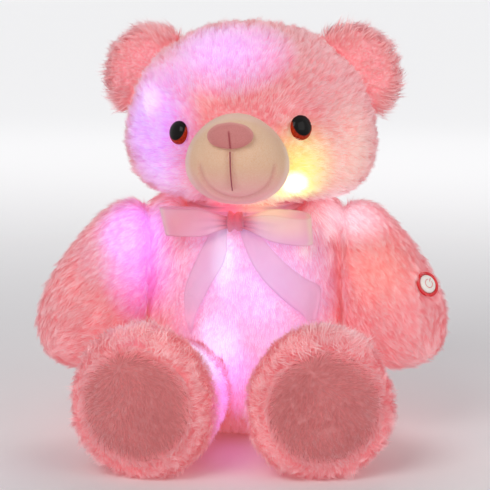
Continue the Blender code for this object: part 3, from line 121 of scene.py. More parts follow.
def share(name, default, description):
    return bpy.props.FloatProperty(
        name=name, description=description, default=default, min=0, soft_max=1, subtype="FACTOR"
    )


class BearColours(bpy.types.PropertyGroup):
    root: colour("Pile root", (0.95, 0.57, 0.59), "Plush at the backing, where the strands are dense")
    tip: colour("Pile tip", (1.0, 0.91, 0.91), "Plush at the tips of its strands")
    muzzle: colour("Muzzle", (0.94, 0.76, 0.61), "Short-pile cloth of the muzzle")
    muzzle_low: colour("Muzzle underside", (1.0, 0.76, 0.76), "Muzzle cloth under the mouth")
    nose: colour("Nose", (0.82, 0.51, 0.49), "Flocked cloth of the nose")
    sole: colour("Sole", (0.88, 0.52, 0.52), "Short-pile cloth of the soles")
    thread: colour("Thread", (0.66, 0.24, 0.30), "Thread of the mouth line")
    iris: colour("Iris", (0.45, 0.08, 0.03), "Clear brown plastic round the pupil")
    ribbon: colour("Ribbon", (0.98, 0.65, 0.72), "Satin ribbon of the bow and collar")
    ribbon_edge: colour("Ribbon edge", (0.88, 0.55, 0.62), "Woven edges of the ribbon")
    ribbon_tuck: colour("Ribbon tuck", (0.96, 0.32, 0.40), "Ribbon where it is drawn together at the knot")
    ring: colour("Button ring", (0.86, 0.10, 0.14), "Plastic ring round the button")
    cap: colour("Button cap", (0.97, 0.93, 0.90), "Plastic cap of the button")


class BearPile(bpy.types.PropertyGroup):
    length: length("Length", 0.0125, "Length of the plush pile")
    sole_length: length("Sole length", 0.0060, "Length of the pile on the soles")
    width: share("Strand width", 0.039, "Width of a strand as a share of its length")
    lean: share("Lean", 0.75, "How far the pile leans along the way that it lies")
    density: bpy.props.FloatProperty(
        name="Density", description="Tufts on a square metre", default=134000, min=0
    )


class BearGlow(bpy.types.PropertyGroup):
    brightness: share("Brightness", 1.0, "How brightly the lamps light the pile")
    inner: bpy.props.FloatVectorProperty(
        name="Inner light", description="Light of all the lamps that comes through the plush everywhere",
        default=(0.27, 0.066, 0.076), subtype="COLOR", size=3, min=0, max=1,
    )


class BearStage(bpy.types.PropertyGroup):
    distance: length("Camera distance", 1.6, "From the camera to the middle of the view")
    elevation: bpy.props.FloatProperty(
        name="Camera height", description="Angle that the camera looks down at", default=math.radians(10),
        subtype="ANGLE",
    )
    lens: bpy.props.FloatProperty(
        name="Lens", description="Focal length on a 36 mm sensor", default=127.8, min=1, unit="CAMERA"
    )
    middle: bpy.props.FloatVectorProperty(
        name="View middle", description="What the camera looks at", default=(NECK.x, NECK.y, 0.167),
        subtype="TRANSLATION",
    )
    floor: colour("Floor", (0.93, 0.92, 0.92), "Plain floor")


# Shader nodes


def add(tree, kind, **settings):
    node = tree.nodes.new(kind)
    for key, value in settings.items():
        setattr(node, key, value)
    return node


def feed(tree, source, socket):
    """Links a source to a socket, or sets the socket to it where it is a plain value."""
    if isinstance(source, bpy.types.NodeSocket):
        tree.links.new(source, socket)
    else:
        socket.default_value = source


def maths(tree, operation, first, second=0.0, clamp=False):
    node = add(tree, "ShaderNodeMath", operation=operation, use_clamp=clamp)
    feed(tree, first, node.inputs[0])
    feed(tree, second, node.inputs[1])
    return node.outputs[0]


def blended(tree, factor, first, second, mode="MIX"):
    node = add(tree, "ShaderNodeMix", data_type="RGBA", blend_type=mode)
    feed(tree, factor, node.inputs["Factor"])
    feed(tree, first, node.inputs[6])
    feed(tree, second, node.inputs[7])
    return node.outputs[2]


def ranged(tree, value, low, high, to_low=0.0, to_high=1.0, kind="SMOOTHSTEP"):
    node = add(tree, "ShaderNodeMapRange", interpolation_type=kind)
    feed(tree, value, node.inputs[0])
    for socket, number in zip(node.inputs[1:5], (low, high, to_low, to_high)):
        feed(tree, number, socket)
    return node.outputs[0]


def mottled(tree, pattern, first, second, most=1.0, low=0.3, high=0.7):
    """The first colour, with the second over it by up to most where the pattern is strong."""
    return blended(tree, ranged(tree, pattern, low, high, 0.0, most), first, second)


def vectors(tree, operation, first, second=None, scale=None):
    node = add(tree, "ShaderNodeVectorMath", operation=operation)
    for source, socket in ((first, 0), (second, 1), (scale, "Scale")):
        if source is not None:
            feed(tree, source, node.inputs[socket])
    return node.outputs["Value" if operation == "LENGTH" else "Vector"]


def parts_of(tree, vector):
    """The X, Y and Z of a vector."""
    split = add(tree, "ShaderNodeSeparateXYZ")
    feed(tree, vector, split.inputs[0])
    return split.outputs


def dial(node, values):
    """Sets these inputs of a node to plain values."""
    for title, value in values.items():
        node.inputs[title].default_value = value


def speckle(tree, place, scale, detail=2.0, roughness=0.5):
    node = add(tree, "ShaderNodeTexNoise")
    feed(tree, place, node.inputs["Vector"])
    feed(tree, scale, node.inputs["Scale"])
    dial(node, {"Detail": detail, "Roughness": roughness})
    return node.outputs[0]


def bands(tree, place, scale, direction, distortion=0.0):
    node = add(tree, "ShaderNodeTexWave", wave_type="BANDS", bands_direction=direction)
    feed(tree, place, node.inputs["Vector"])
    dial(node, {"Scale": scale, "Distortion": distortion})
    return node.outputs["Fac"]


def looked_at(tree):
    """1 where a camera ray meets it, also in a reflection or through something clear, and 0 for its light."""
    seen = add(tree, "ShaderNodeLightPath").outputs
    shines = maths(tree, "MAXIMUM", seen["Is Glossy Ray"], seen["Is Transmission Ray"])
    return maths(tree, "MAXIMUM", seen["Is Camera Ray"], shines)


def opaque(values):
    return (*values, 1.0)


def paint(red, green, blue):
    return opaque(shown(red, green, blue))


def own(name):
    """The colour of that name in the bear's own settings."""
    return opaque(getattr(bpy.context.scene.bear_colours, name))


BLACK, WHITE = (0, 0, 0, 1), (1, 1, 1, 1)


def shader_group(name, inputs, outputs):
    """An empty node group with these named sockets, and its input and output nodes."""
    tree = bpy.data.node_groups.new(name, "ShaderNodeTree")
    for title, kind, default in inputs:
        socket = tree.interface.new_socket(title, in_out="INPUT", socket_type=kind)
        socket.default_value = default
    for title, kind in outputs:
        tree.interface.new_socket(title, in_out="OUTPUT", socket_type=kind)
    return tree, add(tree, "NodeGroupInput").outputs, add(tree, "NodeGroupOutput").inputs


def glow_group():
    """The light of the lamps on the plush: each spot adds its colour, less the further off it is."""
    tree, given, out = shader_group(
        "lamp_glow",
        [
            ("Place", "NodeSocketVector", (0, 0, 0)),
            ("Brightness", "NodeSocketFloat", 1.0),
            ("Inner", "NodeSocketVector", (0, 0, 0)),
        ],
        [("Glow", "NodeSocketColor")],
    )
    total = given["Inner"]
    for node, shift, tint, reach, falloff in GLOWS:
        off = vectors(tree, "SUBTRACT", given["Place"], middle_of(node) + Vector(shift))
        away = vectors(tree, "LENGTH", vectors(tree, "DIVIDE", off, reach))
        near = maths(tree, "POWER", ranged(tree, away, 0.0, 1.0, 1.0, 0.0), falloff)
        total = vectors(tree, "ADD", total, vectors(tree, "SCALE", tint, scale=near))
    feed(tree, vectors(tree, "SCALE", total, scale=given["Brightness"]), out["Glow"])
    return tree


# Lamp or piece, how far its light's middle lies from it, colour of the light, reach along each axis, falloff
GLOWS = (
    ("led_cheek_right", (-0.031, -0.021, 0.014), (0.05, 0.12, 0.80), (0.055, 0.070, 0.066), 0.7),
    ("led_cheek_right", (-0.033, -0.011, 0.035), (0.16, 0.30, 0.30), (0.022, 0.030, 0.022), 1.0),
    ("led_crown", (-0.019, -0.045, 0.030), (0.14, 0.21, 0.72), (0.078, 0.085, 0.046), 0.6),
    ("led_crown", (-0.078, 0.015, 0.006), (0.09, 0.07, 0.20), (0.035, 0.035, 0.035), 1.0),
    ("led_cheek_right", (-0.020, -0.020, -0.040), (0.06, 0.16, 0.34), (0.050, 0.070, 0.034), 0.8),
    ("led_cheek_left", (0.010, -0.022, 0.004), (0.22, 0.75, 0.03), (0.044, 0.060, 0.056), 1.2),
    ("led_cheek_left", (0.008, -0.026, -0.009), (2.0, 2.0, 1.8), (0.016, 0.036, 0.014), 1.0),
    ("led_cheek_left", (0.006, -0.028, -0.018), (0.30, 0.70, 0.25), (0.034, 0.040, 0.014), 0.9),
    ("led_cheek_left", (0.052, -0.001, 0.010), (0.10, 0.22, 0.14), (0.050, 0.060, 0.070), 0.9),
    ("led_shoulder", (-0.052, -0.050, 0.020), (0.14, 0.15, 0.80), (0.045, 0.070, 0.038), 0.9),
    ("led_shoulder", (-0.044, -0.050, -0.014), (0.16, 0.04, 0.50), (0.040, 0.060, 0.062), 0.7),
    ("led_chest", (-0.003, -0.020, 0.006), (0.16, 0.36, 0.42), (0.017, 0.050, 0.042), 1.0),
    ("led_chest", (0.007, -0.025, 0.051), (0.22, 0.02, 0.00), (0.040, 0.050, 0.020), 1.0),
    ("led_belly", (0.014, -0.028, 0.036), (0.14, 0.30, 0.70), (0.092, 0.085, 0.095), 0.6),
    ("led_belly", (-0.017, -0.068, -0.009), (0.24, 0.52, 0.74), (0.034, 0.060, 0.036), 0.7),
    ("led_belly", (-0.079, -0.106, 0.014), (0.12, 0.20, 0.34), (0.034, 0.036, 0.020), 0.8),
    ("led_belly", (0.080, -0.106, 0.018), (0.03, 0.22, 0.22), (0.034, 0.036, 0.020), 0.8),
    ("led_belly", (-0.006, -0.068, -0.049), (0.34, 0.20, 0.72), (0.044, 0.075, 0.050), 0.7),
    ("led_shoulder", (-0.062, -0.045, -0.006), (0.06, 0.14, 0.24), (0.050, 0.060, 0.045), 0.8),
    ("led_hand", (-0.035, -0.017, 0.088), (0.20, 0.40, 0.48), (0.050, 0.055, 0.032), 0.8),
    ("led_hand", (-0.010, -0.037, 0.042), (0.10, 0.04, 0.00), (0.050, 0.060, 0.050), 1.0),
    ("bow_loop_left", (0.004, -0.004, 0.003), (0.16, 0.26, 0.00), (0.036, 0.026, 0.017), 0.8),
    ("bow_loop_left", (0.026, 0.000, -0.020), (0.06, 0.22, 0.04), (0.018, 0.024, 0.014), 1.0),
    ("bow_loop_left", (-0.012, 0.006, 0.017), (0.34, 0.44, 0.02), (0.034, 0.034, 0.014), 0.8),
    ("bow_knot", (0.000, 0.006, 0.012), (0.50, 0.03, 0.02), (0.032, 0.034, 0.015), 0.8),
)


def tone_group():
    """The colour of a strand from its root to its tip, lighter and darker from tuft to tuft."""
    tree, given, out = shader_group(
        "pile_tone",
        [
            ("Root", "NodeSocketColor", WHITE),
            ("Tip", "NodeSocketColor", WHITE),
            ("Along", "NodeSocketFloat", 0.5),
            ("Shade", "NodeSocketFloat", 0.5),
            ("Place", "NodeSocketVector", (0, 0, 0)),
        ],
        [("Tone", "NodeSocketColor")],
    )
    along = maths(tree, "POWER", ranged(tree, given["Along"], 0.05, 0.95), 1.25)
    tone = blended(tree, along, given["Root"], given["Tip"])
    patches = ranged(tree, speckle(tree, given["Place"], 26.0, 3.0), 0.35, 0.65, 0.93, 1.06)
    tuft_level = ranged(tree, given["Shade"], 0.0, 1.0, 0.92, 1.08, "LINEAR")
    level = maths(tree, "MULTIPLY", patches, tuft_level)
    feed(tree, vectors(tree, "SCALE", tone, scale=level), out["Tone"])
    return tree


def weave_group():
    """Threads that cross at right angles on a UV map laid out in metres."""
    tree, given, out = shader_group(
        "cloth_weave",
        [("Place", "NodeSocketVector", (0, 0, 0)), ("Threads", "NodeSocketFloat", 3000.0)],
        [("Height", "NodeSocketFloat")],
    )
    place = parts_of(tree, given["Place"])
    ripples = [maths(tree, "SINE", maths(tree, "MULTIPLY", place[axis], given["Threads"])) for axis in (0, 1)]
    crossed = maths(tree, "MULTIPLY", *ripples)
    feed(tree, ranged(tree, crossed, -1.0, 1.0, 0.0, 1.0, "LINEAR"), out["Height"])
    return tree


def grain_group():
    """Fine uneven grain, as moulded plastic and drawn metal have."""
    tree, given, out = shader_group(
        "fine_grain",
        [("Place", "NodeSocketVector", (0, 0, 0)), ("Scale", "NodeSocketFloat", 800.0)],
        [("Height", "NodeSocketFloat"), ("Wear", "NodeSocketFloat")],
    )
    feed(tree, speckle(tree, given["Place"], given["Scale"], 4.0, 0.6), out["Height"])
    broad = maths(tree, "DIVIDE", given["Scale"], 12.0)
    feed(tree, ranged(tree, speckle(tree, given["Place"], broad, 3.0), 0.35, 0.7), out["Wear"])
    return tree


def group(tree, name, **given):
    """Places one of the shared groups in a material, and gives its outputs."""
    makers = {
        "lamp_glow": glow_group,
        "pile_tone": tone_group,
        "cloth_weave": weave_group,
        "fine_grain": grain_group,
    }
    found = bpy.data.node_groups.get(name) or makers[name]()
    node = add(tree, "ShaderNodeGroup", node_tree=found)
    for title, value in given.items():
        feed(tree, value, node.inputs[title])
    return node.outputs


def material(name, build):
    """A material by that name, made by build(tree, surface, place) the first time."""
    made = bpy.data.materials.get(name)
    if made:
        return made
    made = bpy.data.materials.new(name)
    made.use_nodes = True
    tree = made.node_tree
    build(tree, tree.nodes["Principled BSDF"], add(tree, "ShaderNodeTexCoord").outputs["Object"])
    return made


def bump(tree, surface, height, distance):
    node = add(tree, "ShaderNodeBump")
    node.inputs["Strength"].default_value = 1.0
    node.inputs["Distance"].default_value = distance
    feed(tree, height, node.inputs["Height"])
    feed(tree, node.outputs[0], surface.inputs["Normal"])


def attribute(tree, name, output="Fac"):
    return add(tree, "ShaderNodeAttribute", attribute_name=name).outputs[output]


def coloured(tree, surface, tone, into="Base Color"):
    feed(tree, tone, surface.inputs[into])


def lit(tree, surface, place, strength, inner=0.0):
    """Lets the lamps shine in the surface, with this share of the light that comes through everywhere."""
    chosen = bpy.context.scene.bear_glow
    through = tuple(value * inner for value in chosen.inner)
    glow = group(tree, "lamp_glow", Place=place, Brightness=chosen.brightness, Inner=through)["Glow"]
    coloured(tree, surface, vectors(tree, "SCALE", glow, scale=strength), "Emission Color")
    dial(surface, {"Emission Strength": 1.0})


def soft_sheen(surface, weight, tint):
    dial(surface, {
        "Sheen Weight": weight, "Sheen Roughness": 0.45, "Sheen Tint": tint,
        "Specular IOR Level": 0.15, "Roughness": 0.9,
    })


def pile_surface(root, tip, inner=1.0, border=None):
    """Pile from its root's colour to its tip's. Near the mark edge it takes the two colours of the border."""
    # Pale pink of the painted rim light, where the pile is seen edge-on.
    painted_rim_light = paint(1.0, 0.93, 0.94)
    share_of_lie = 0.45

    def build(tree, surface, place):
        along = attribute(tree, "along")
        low, high = root, tip
        strength = ranged(tree, along, 0.0, 1.0, 0.95, 0.80, "LINEAR")
        if border:
            edge = attribute(tree, "edge")
            low, high = (blended(tree, edge, inside, outside) for inside, outside in zip((low, high), border))
            strength = maths(tree, "MULTIPLY", strength, ranged(tree, edge, 0.0, 1.0, 0.45, 1.0))
        tone = group(
            tree, "pile_tone", Root=low, Tip=high, Along=along, Shade=attribute(tree, "shade"), Place=place
        )["Tone"]
        soft_sheen(surface, 0.75, tip)
        lit(tree, surface, place, strength, inner)
        turned = add(
            tree, "ShaderNodeVectorTransform", vector_type="NORMAL", convert_from="OBJECT", convert_to="WORLD"
        )
        feed(tree, attribute(tree, "lie", "Vector"), turned.inputs[0])
        sideways = add(tree, "ShaderNodeLayerWeight")
        feed(tree, turned.outputs[0], sideways.inputs["Normal"])
        # Seen edge-on, the pile's colour turns pale: a painted rim light.
        rim = ranged(tree, sideways.outputs["Facing"], 0.35, 0.95, 0.0, 0.55)
        coloured(tree, surface, blended(tree, rim, tone, painted_rim_light))
        mixed = add(tree, "ShaderNodeMix", data_type="VECTOR")
        mixed.inputs["Factor"].default_value = share_of_lie
        feed(tree, add(tree, "ShaderNodeNewGeometry").outputs["Normal"], mixed.inputs[4])
        feed(tree, turned.outputs[0], mixed.inputs[5])
        feed(tree, vectors(tree, "NORMALIZE", mixed.outputs[1]), surface.inputs["Normal"])

    return build


def backing_surface(tree, surface, place):
    """The cloth that the pile grows from, seen between the tufts."""
    streaks = speckle(tree, place, 420.0, 3.0, 0.6)
    tone = mottled(tree, streaks, own("root"), own("tip"))
    coloured(tree, surface, blended(tree, 0.55, tone, own("root")))
    soft_sheen(surface, 0.2, own("tip"))
    bump(tree, surface, streaks, 0.0012)
    lit(tree, surface, place, 0.8, 1.0)


def muzzle_surface(tree, surface, place):
    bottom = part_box("muzzle")[0].z
    lower = ranged(tree, parts_of(tree, place)[2], bottom + 0.006, bottom + 0.042, 1.0, 0.0)
    tone = blended(tree, lower, own("muzzle"), own("muzzle_low"))
    tone = blended(tree, attribute(tree, "rim"), tone, paint(1.0, 0.88, 0.85))
    # Painted shade: darker red in the smile crease and in the fold beside the mouth line.
    seam_and_crease_shade = maths(tree, "MULTIPLY", attribute(tree, "seam_and_crease_shade"), 0.42)
    tone = blended(tree, seam_and_crease_shade, tone, paint(0.86, 0.50, 0.48))
    nap = speckle(tree, place, 1100.0, 3.0, 0.6)
    coloured(tree, surface, mottled(tree, nap, tone, paint(0.99, 0.90, 0.84), 0.35))
    soft_sheen(surface, 0.35, paint(1.0, 0.92, 0.88))
    bump(tree, surface, nap, 0.0004)
    lit(tree, surface, place, 0.12)


def nose_surface(tree, surface, place):
    flock = speckle(tree, place, 1500.0, 3.0, 0.65)
    tone = mottled(tree, flock, own("nose"), paint(0.94, 0.66, 0.66), 0.35, high=0.75)
    wave = ranged(tree, bands(tree, place, 190.0, "Z"), 0.25, 0.6, 0.45, 1.0)
    tone = blended(tree, maths(tree, "MULTIPLY", attribute(tree, "seam_and_crease_shade"), wave), tone, own("thread"))
    # Paler round its outline: partly the soft border of the flocking, partly a painted highlight.
    coloured(tree, surface, blended(tree, attribute(tree, "rim"), tone, paint(0.92, 0.64, 0.60)))
    soft_sheen(surface, 0.4, paint(1.0, 0.82, 0.82))
    bump(tree, surface, flock, 0.0003)


def sole_surface(tree, surface, place):
    nap = speckle(tree, place, 260.0, 4.0, 0.6)
    coloured(tree, surface, mottled(tree, nap, own("sole"), paint(0.93, 0.62, 0.62), 0.5))
    soft_sheen(surface, 0.3, own("tip"))
    bump(tree, surface, nap, 0.0008)


def thread_surface(tree, surface, place):
    twist = bands(tree, place, 420.0, "DIAGONAL", 1.5)
    coloured(tree, surface, mottled(tree, twist, own("thread"), paint(0.66, 0.28, 0.30), 0.4, 0.2, 0.8))
    dial(surface, {"Roughness": 0.7, "Sheen Weight": 0.3})
    bump(tree, surface, twist, 0.0003)


def ribbon_surface(tree, surface, place):
    """Satin with a woven edge: the UV map runs 0 to 1 across the ribbon and in widths along it."""
    laid = add(tree, "ShaderNodeUVMap", uv_map="UVMap").outputs[0]
    from_middle = maths(tree, "ABSOLUTE", maths(tree, "SUBTRACT", parts_of(tree, laid)[0], 0.5))
    edge = ranged(tree, from_middle, 0.455, 0.475)
    threads = group(tree, "cloth_weave", Place=laid, Threads=700.0)["Height"]
    tone = mottled(tree, speckle(tree, place, 90.0, 3.0), own("ribbon"), paint(0.98, 0.74, 0.77), 0.30)
    drawn = maths(tree, "MULTIPLY", attribute(tree, "tuck"), 0.85)
    tone = blended(tree, drawn, tone, own("ribbon_tuck"))
    # Painted highlight: paler peach where each loop folds over at its outer end.
    tone = blended(tree, attribute(tree, "fold"), tone, paint(0.99, 0.82, 0.72))
    coloured(tree, surface, blended(tree, maths(tree, "MULTIPLY", edge, 0.45), tone, own("ribbon_edge")))
    dial(surface, {"Roughness": 0.36, "Sheen Weight": 0.4, "Anisotropic": 0.5})
    bump(tree, surface, maths(tree, "ADD", threads, maths(tree, "MULTIPLY", edge, 2.0)), 0.00012)
    lit(tree, surface, place, ranged(tree, drawn, 0.0, 0.85, 0.66, 0.16, "LINEAR"), 0.60)


def eye_surface(tree, surface, place):
    """Black plastic, clear and brown where the pupil ends."""
    wear = group(tree, "fine_grain", Place=place, Scale=900.0)["Wear"]
    black = blended(tree, wear, paint(0.035, 0.02, 0.02), paint(0.07, 0.045, 0.04))
    brown = mottled(tree, speckle(tree, place, 700.0, 2.0), own("iris"), paint(0.66, 0.18, 0.06))
    clear = attribute(tree, "iris")
    coloured(tree, surface, blended(tree, clear, black, brown))
    # The clear brown crescent glows: painted light shining through the clear plastic.
    coloured(tree, surface, blended(tree, clear, BLACK, paint(0.46, 0.10, 0.02)), "Emission Color")
    dial(surface, {"Emission Strength": 0.6, "Roughness": 0.13, "Specular IOR Level": 0.14})


def grained(tint, worn, roughness, rougher, grain, relief, metallic):
    """A hard surface that is a little rougher, and of the worn colour, in patches."""

    def build(tree, surface, place):
        grains = group(tree, "fine_grain", Place=place, Scale=grain)
        coloured(tree, surface, blended(tree, grains["Wear"], opaque(tint), opaque(worn)))
        rough = ranged(tree, grains["Wear"], 0.0, 1.0, roughness, roughness * rougher, "LINEAR")
        feed(tree, rough, surface.inputs["Roughness"])
        dial(surface, {"Metallic": metallic})
        bump(tree, surface, grains["Height"], relief)

    return build


def plastic(tint, roughness=0.35):
    worn = tuple(min(1.0, value * 1.12 + 0.01) for value in tint)
    return grained(tint, worn, roughness, 1.35, 900.0, 0.00004, 0.0)


def metal(tint, roughness=0.3):
    dull = tuple(value * 0.72 for value in tint)
    return grained(tint, dull, roughness, 1.6, 1400.0, 0.00003, 1.0)


def woven(tint, thread=2600.0):
    """Plain cloth of small pieces, whose threads follow the object's own axes."""
    pale = tuple(min(1.0, value * 1.25 + 0.02) for value in tint)

    def build(tree, surface, place):
        turned = add(tree, "ShaderNodeMapping")
        turned.inputs["Rotation"].default_value = (math.pi / 2, 0, 0)
        feed(tree, place, turned.inputs["Vector"])
        threads = group(tree, "cloth_weave", Place=turned.outputs[0], Threads=thread)["Height"]
        coloured(tree, surface, blended(tree, threads, opaque(tint), opaque(pale)))
        dial(surface, {"Roughness": 0.85, "Sheen Weight": 0.2})
        bump(tree, surface, threads, 0.00025)

    return build


def lens(tint):
    pale = tuple(0.5 + value / 2 for value in tint)

    def build(tree, surface, place):
        wear = group(tree, "fine_grain", Place=place, Scale=600.0)["Wear"]
        coloured(tree, surface, blended(tree, wear, opaque(pale), opaque(tint)))
        coloured(tree, surface, blended(tree, wear, opaque(tint), opaque(pale)), "Emission Color")
        dial(surface, {"Roughness": 0.08, "Coat Weight": 0.6, "Emission Strength": 3.0})

    return build


# Shapes


def cad_tree(names):
    """The faces of these CAD nodes, for rays and nearest points."""
    points, faces = [], []
    for name in names:
        mesh = frame["nodes"][name].data
        start = len(points)
        points += [vert.co.copy() for vert in mesh.vertices]
        faces += [[start + index for index in face.vertices] for face in mesh.polygons]
    return BVHTree.FromPolygons(points, faces)


def finished(name, bm, finish, smooth=True):
    mesh = bpy.data.meshes.new(name)
    bm.to_mesh(mesh)
    bm.free()
    piece = bpy.data.objects.new(name, mesh)
    bpy.context.scene.collection.objects.link(piece)
    mesh.materials.append(finish)
    for face in mesh.polygons:
        face.use_smooth = smooth
    return piece


def relax(bm, times, factor=0.5, verts=None):
    for _ in range(times):
        bmesh.ops.smooth_vert(
            bm, verts=verts or bm.verts, factor=factor, use_axis_x=True, use_axis_y=True, use_axis_z=True
        )


def drawn_in(nodes, detail=6, times=5, middle=None):
    """A ball drawn in from all sides until it lies on these CAD nodes, then relaxed as cloth would be."""
    tree = cad_tree(nodes)
    corners = [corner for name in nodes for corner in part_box(name)]
    low = Vector([min(corner[axis] for corner in corners) for axis in range(3)])
    high = Vector([max(corner[axis] for corner in corners) for axis in range(3)])
    middle = middle or (low + high) / 2
    reach = (high - low).length
    bm = bmesh.new()
    bmesh.ops.create_icosphere(bm, subdivisions=detail, radius=1)
    over_gaps, reached = [], 0.0
    for vert in bm.verts:
        outward = vert.co.normalized()
        hit = None
        for nudge in (0, 2e-5, -3e-5, 7e-5):
            start = middle + outward * reach + Vector((nudge, nudge * 0.7, -nudge * 0.4))
            hit = hit or tree.ray_cast(start, -outward)[0]
        if hit and (hit - middle).dot(outward) > -0.3 * reached:
            vert.co = hit
            reached = max(reached, (hit - middle).length)
        else:
            vert.co = middle + outward * reached * 0.6
            over_gaps.append(vert)
    if len(over_gaps) > len(bm.verts) / 4:
        raise RuntimeError(f"too few rays meet {nodes}")
    if over_gaps:
        relax(bm, 150, verts=over_gaps)
    relax(bm, times)
    bm.normal_update()
    return bm


def puffed(bm, smaller=0.0015, most=0.0025, pressure=4.0, frames=20):
    """Lets the stuffing press the cover out as cloth under pressure; no point may move further than most."""
    scene = bpy.context.scene
    for vert in bm.verts:
        vert.co -= vert.normal * smaller
    start = [vert.co.copy() for vert in bm.verts]
    mesh = bpy.data.meshes.new("cover")
    bm.to_mesh(mesh)
    cover = bpy.data.objects.new("cover", mesh)
    scene.collection.objects.link(cover)
    cloth = cover.modifiers.new("stuffing", "CLOTH")
    cloth.settings.use_pressure = True
    cloth.settings.uniform_pressure_force = pressure
    cloth.settings.effector_weights.gravity = 0.0
    cloth.collision_settings.use_collision = False
    cloth.point_cache.frame_end = frames
    for number in range(1, frames + 1):
        scene.frame_set(number)
    swollen = cover.evaluated_get(bpy.context.evaluated_depsgraph_get()).data
    for vert, before, after in zip(bm.verts, start, swollen.vertices):
        move = after.co - before
        vert.co = before + move * min(1.0, most / max(move.length, 1e-9))
    bpy.data.objects.remove(cover)
    scene.frame_set(1)
    relax(bm, 2)
    bm.normal_update()
    return bm


def lumpy(bm, height, scale, seed):
    """Stuffing is never quite even."""
    shift = Vector((seed, seed * 2.3, seed * 3.7))
    for vert in bm.verts:
        vert.co += vert.normal * height * noise.noise(vert.co * scale + shift)
        vert.co.z = max(vert.co.z, FLOOR_CLEAR)
    bm.normal_update()


def standing(place_at, aim):
    """What moves a shape from the origin to this place, and turns its Z along aim."""
    return Matrix.Translation(place_at) @ Z_AXIS.rotation_difference(Vector(aim)).to_matrix().to_4x4()


def turned(profile, steps, place_at, aim, closed=False, degrees=360, start=0):
    """A profile of (radius, height) points spun about Z, set on place_at and pointing along aim."""
    bm = bmesh.new()
    first = Matrix.Rotation(math.radians(start), 4, "Z")
    verts = [bm.verts.new(first @ Vector((radius, 0, height))) for radius, height in profile]
    edges = [bm.edges.new(pair) for pair in zip(verts, verts[1:] + verts[:1] if closed else verts[1:])]
    bmesh.ops.spin(
        bm, geom=verts + edges, cent=(0, 0, 0), axis=(0, 0, 1), angle=math.radians(degrees), steps=steps,
        use_merge=degrees == 360,
    )
    bmesh.ops.remove_doubles(bm, verts=bm.verts, dist=MERGED)
    bmesh.ops.holes_fill(bm, edges=[edge for edge in bm.edges if edge.is_boundary], sides=0)
    bmesh.ops.recalc_face_normals(bm, faces=bm.faces)
    bmesh.ops.transform(bm, matrix=standing(place_at, aim), verts=bm.verts)
    return bm


def measured(node, seat, aim):
    """How far along aim the points of this CAD node lie from the seat, and how far out from that line."""
    offs = [vert.co - seat for vert in frame["nodes"][node].data.vertices]
    along = [off.dot(aim) for off in offs]
    return along, [(off - aim * ahead).length for off, ahead in zip(offs, along)]


def middle_of(node):
    low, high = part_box(node)
    return (low + high) / 2


def smoothed(value):
    value = min(1.0, max(0.0, value))
    return value * value * (3 - 2 * value)


def rising(value, start, over):
    """0 up to the start, 1 once it is over further on."""
    return smoothed((value - start) / over)


def falling(value, end, over):
    """1 up to over before the end, 0 from the end on."""
    return smoothed((end - value) / over)


def bell(value, width):
    return math.exp(-((value / width) ** 2))


# Pile


def tuft(name, strands, seed, finish):
    """A tuft of strands one unit long: they rise, then lie over along +X, and thin out to their tips."""
    rng = random.Random(seed)
    width = bpy.context.scene.bear_pile.width
    bm = bmesh.new()
    along = bm.verts.layers.float.new("along")
    rows = 2
    for _ in range(strands):
        root = Vector((rng.uniform(-0.13, 0.13), rng.uniform(-0.13, 0.13), 0))
        tip_side, size = rng.uniform(-0.16, 0.16), rng.uniform(0.72, 1.0)
        first, last = math.radians(rng.uniform(12, 34)), math.radians(rng.uniform(58, 86))
        roll = math.radians(rng.uniform(-50, 50))
        verts = bmesh.ops.create_grid(bm, x_segments=1, y_segments=rows, size=0.5)["verts"]
        spine = [root.copy()]
        for step in range(rows):
            angle = first + (last - first) * (step + 0.5) / rows
            ahead = Vector((math.sin(angle), tip_side * (step + 1) / rows, math.cos(angle)))
            spine.append(spine[-1] + ahead * size / rows)
        for vert in verts:
            step = round((vert.co.y + 0.5) * rows)
            side = vert.co.x
            ahead = (spine[min(step + 1, rows)] - spine[max(step - 1, 0)]).normalized()
            across = (Vector((0, 1, 0)) - ahead * ahead.y).normalized()
            across = Matrix.Rotation(roll, 3, ahead) @ across
            taper = (1.0, 0.86, 0.0)[step]
            vert.co = spine[step] + across * side * width * taper * size
            vert[along] = step / rows * size
    bmesh.ops.remove_doubles(bm, verts=bm.verts, dist=1e-5)
    return finished(name, bm, finish)


def tufts_of(name, finish, strands=8, kinds=4):
    """A collection of tufts of this finish, which the pile picks from."""
    found = bpy.data.collections.get(name)
    if not found:
        found = bpy.data.collections.new(name)
        bpy.context.scene.collection.children.link(found)
        for count in range(kinds):
            made = tuft(f"{name}_{count}", strands, 11 * count + len(name), finish)
            bpy.context.scene.collection.objects.unlink(made)
            found.objects.link(made)
    return found


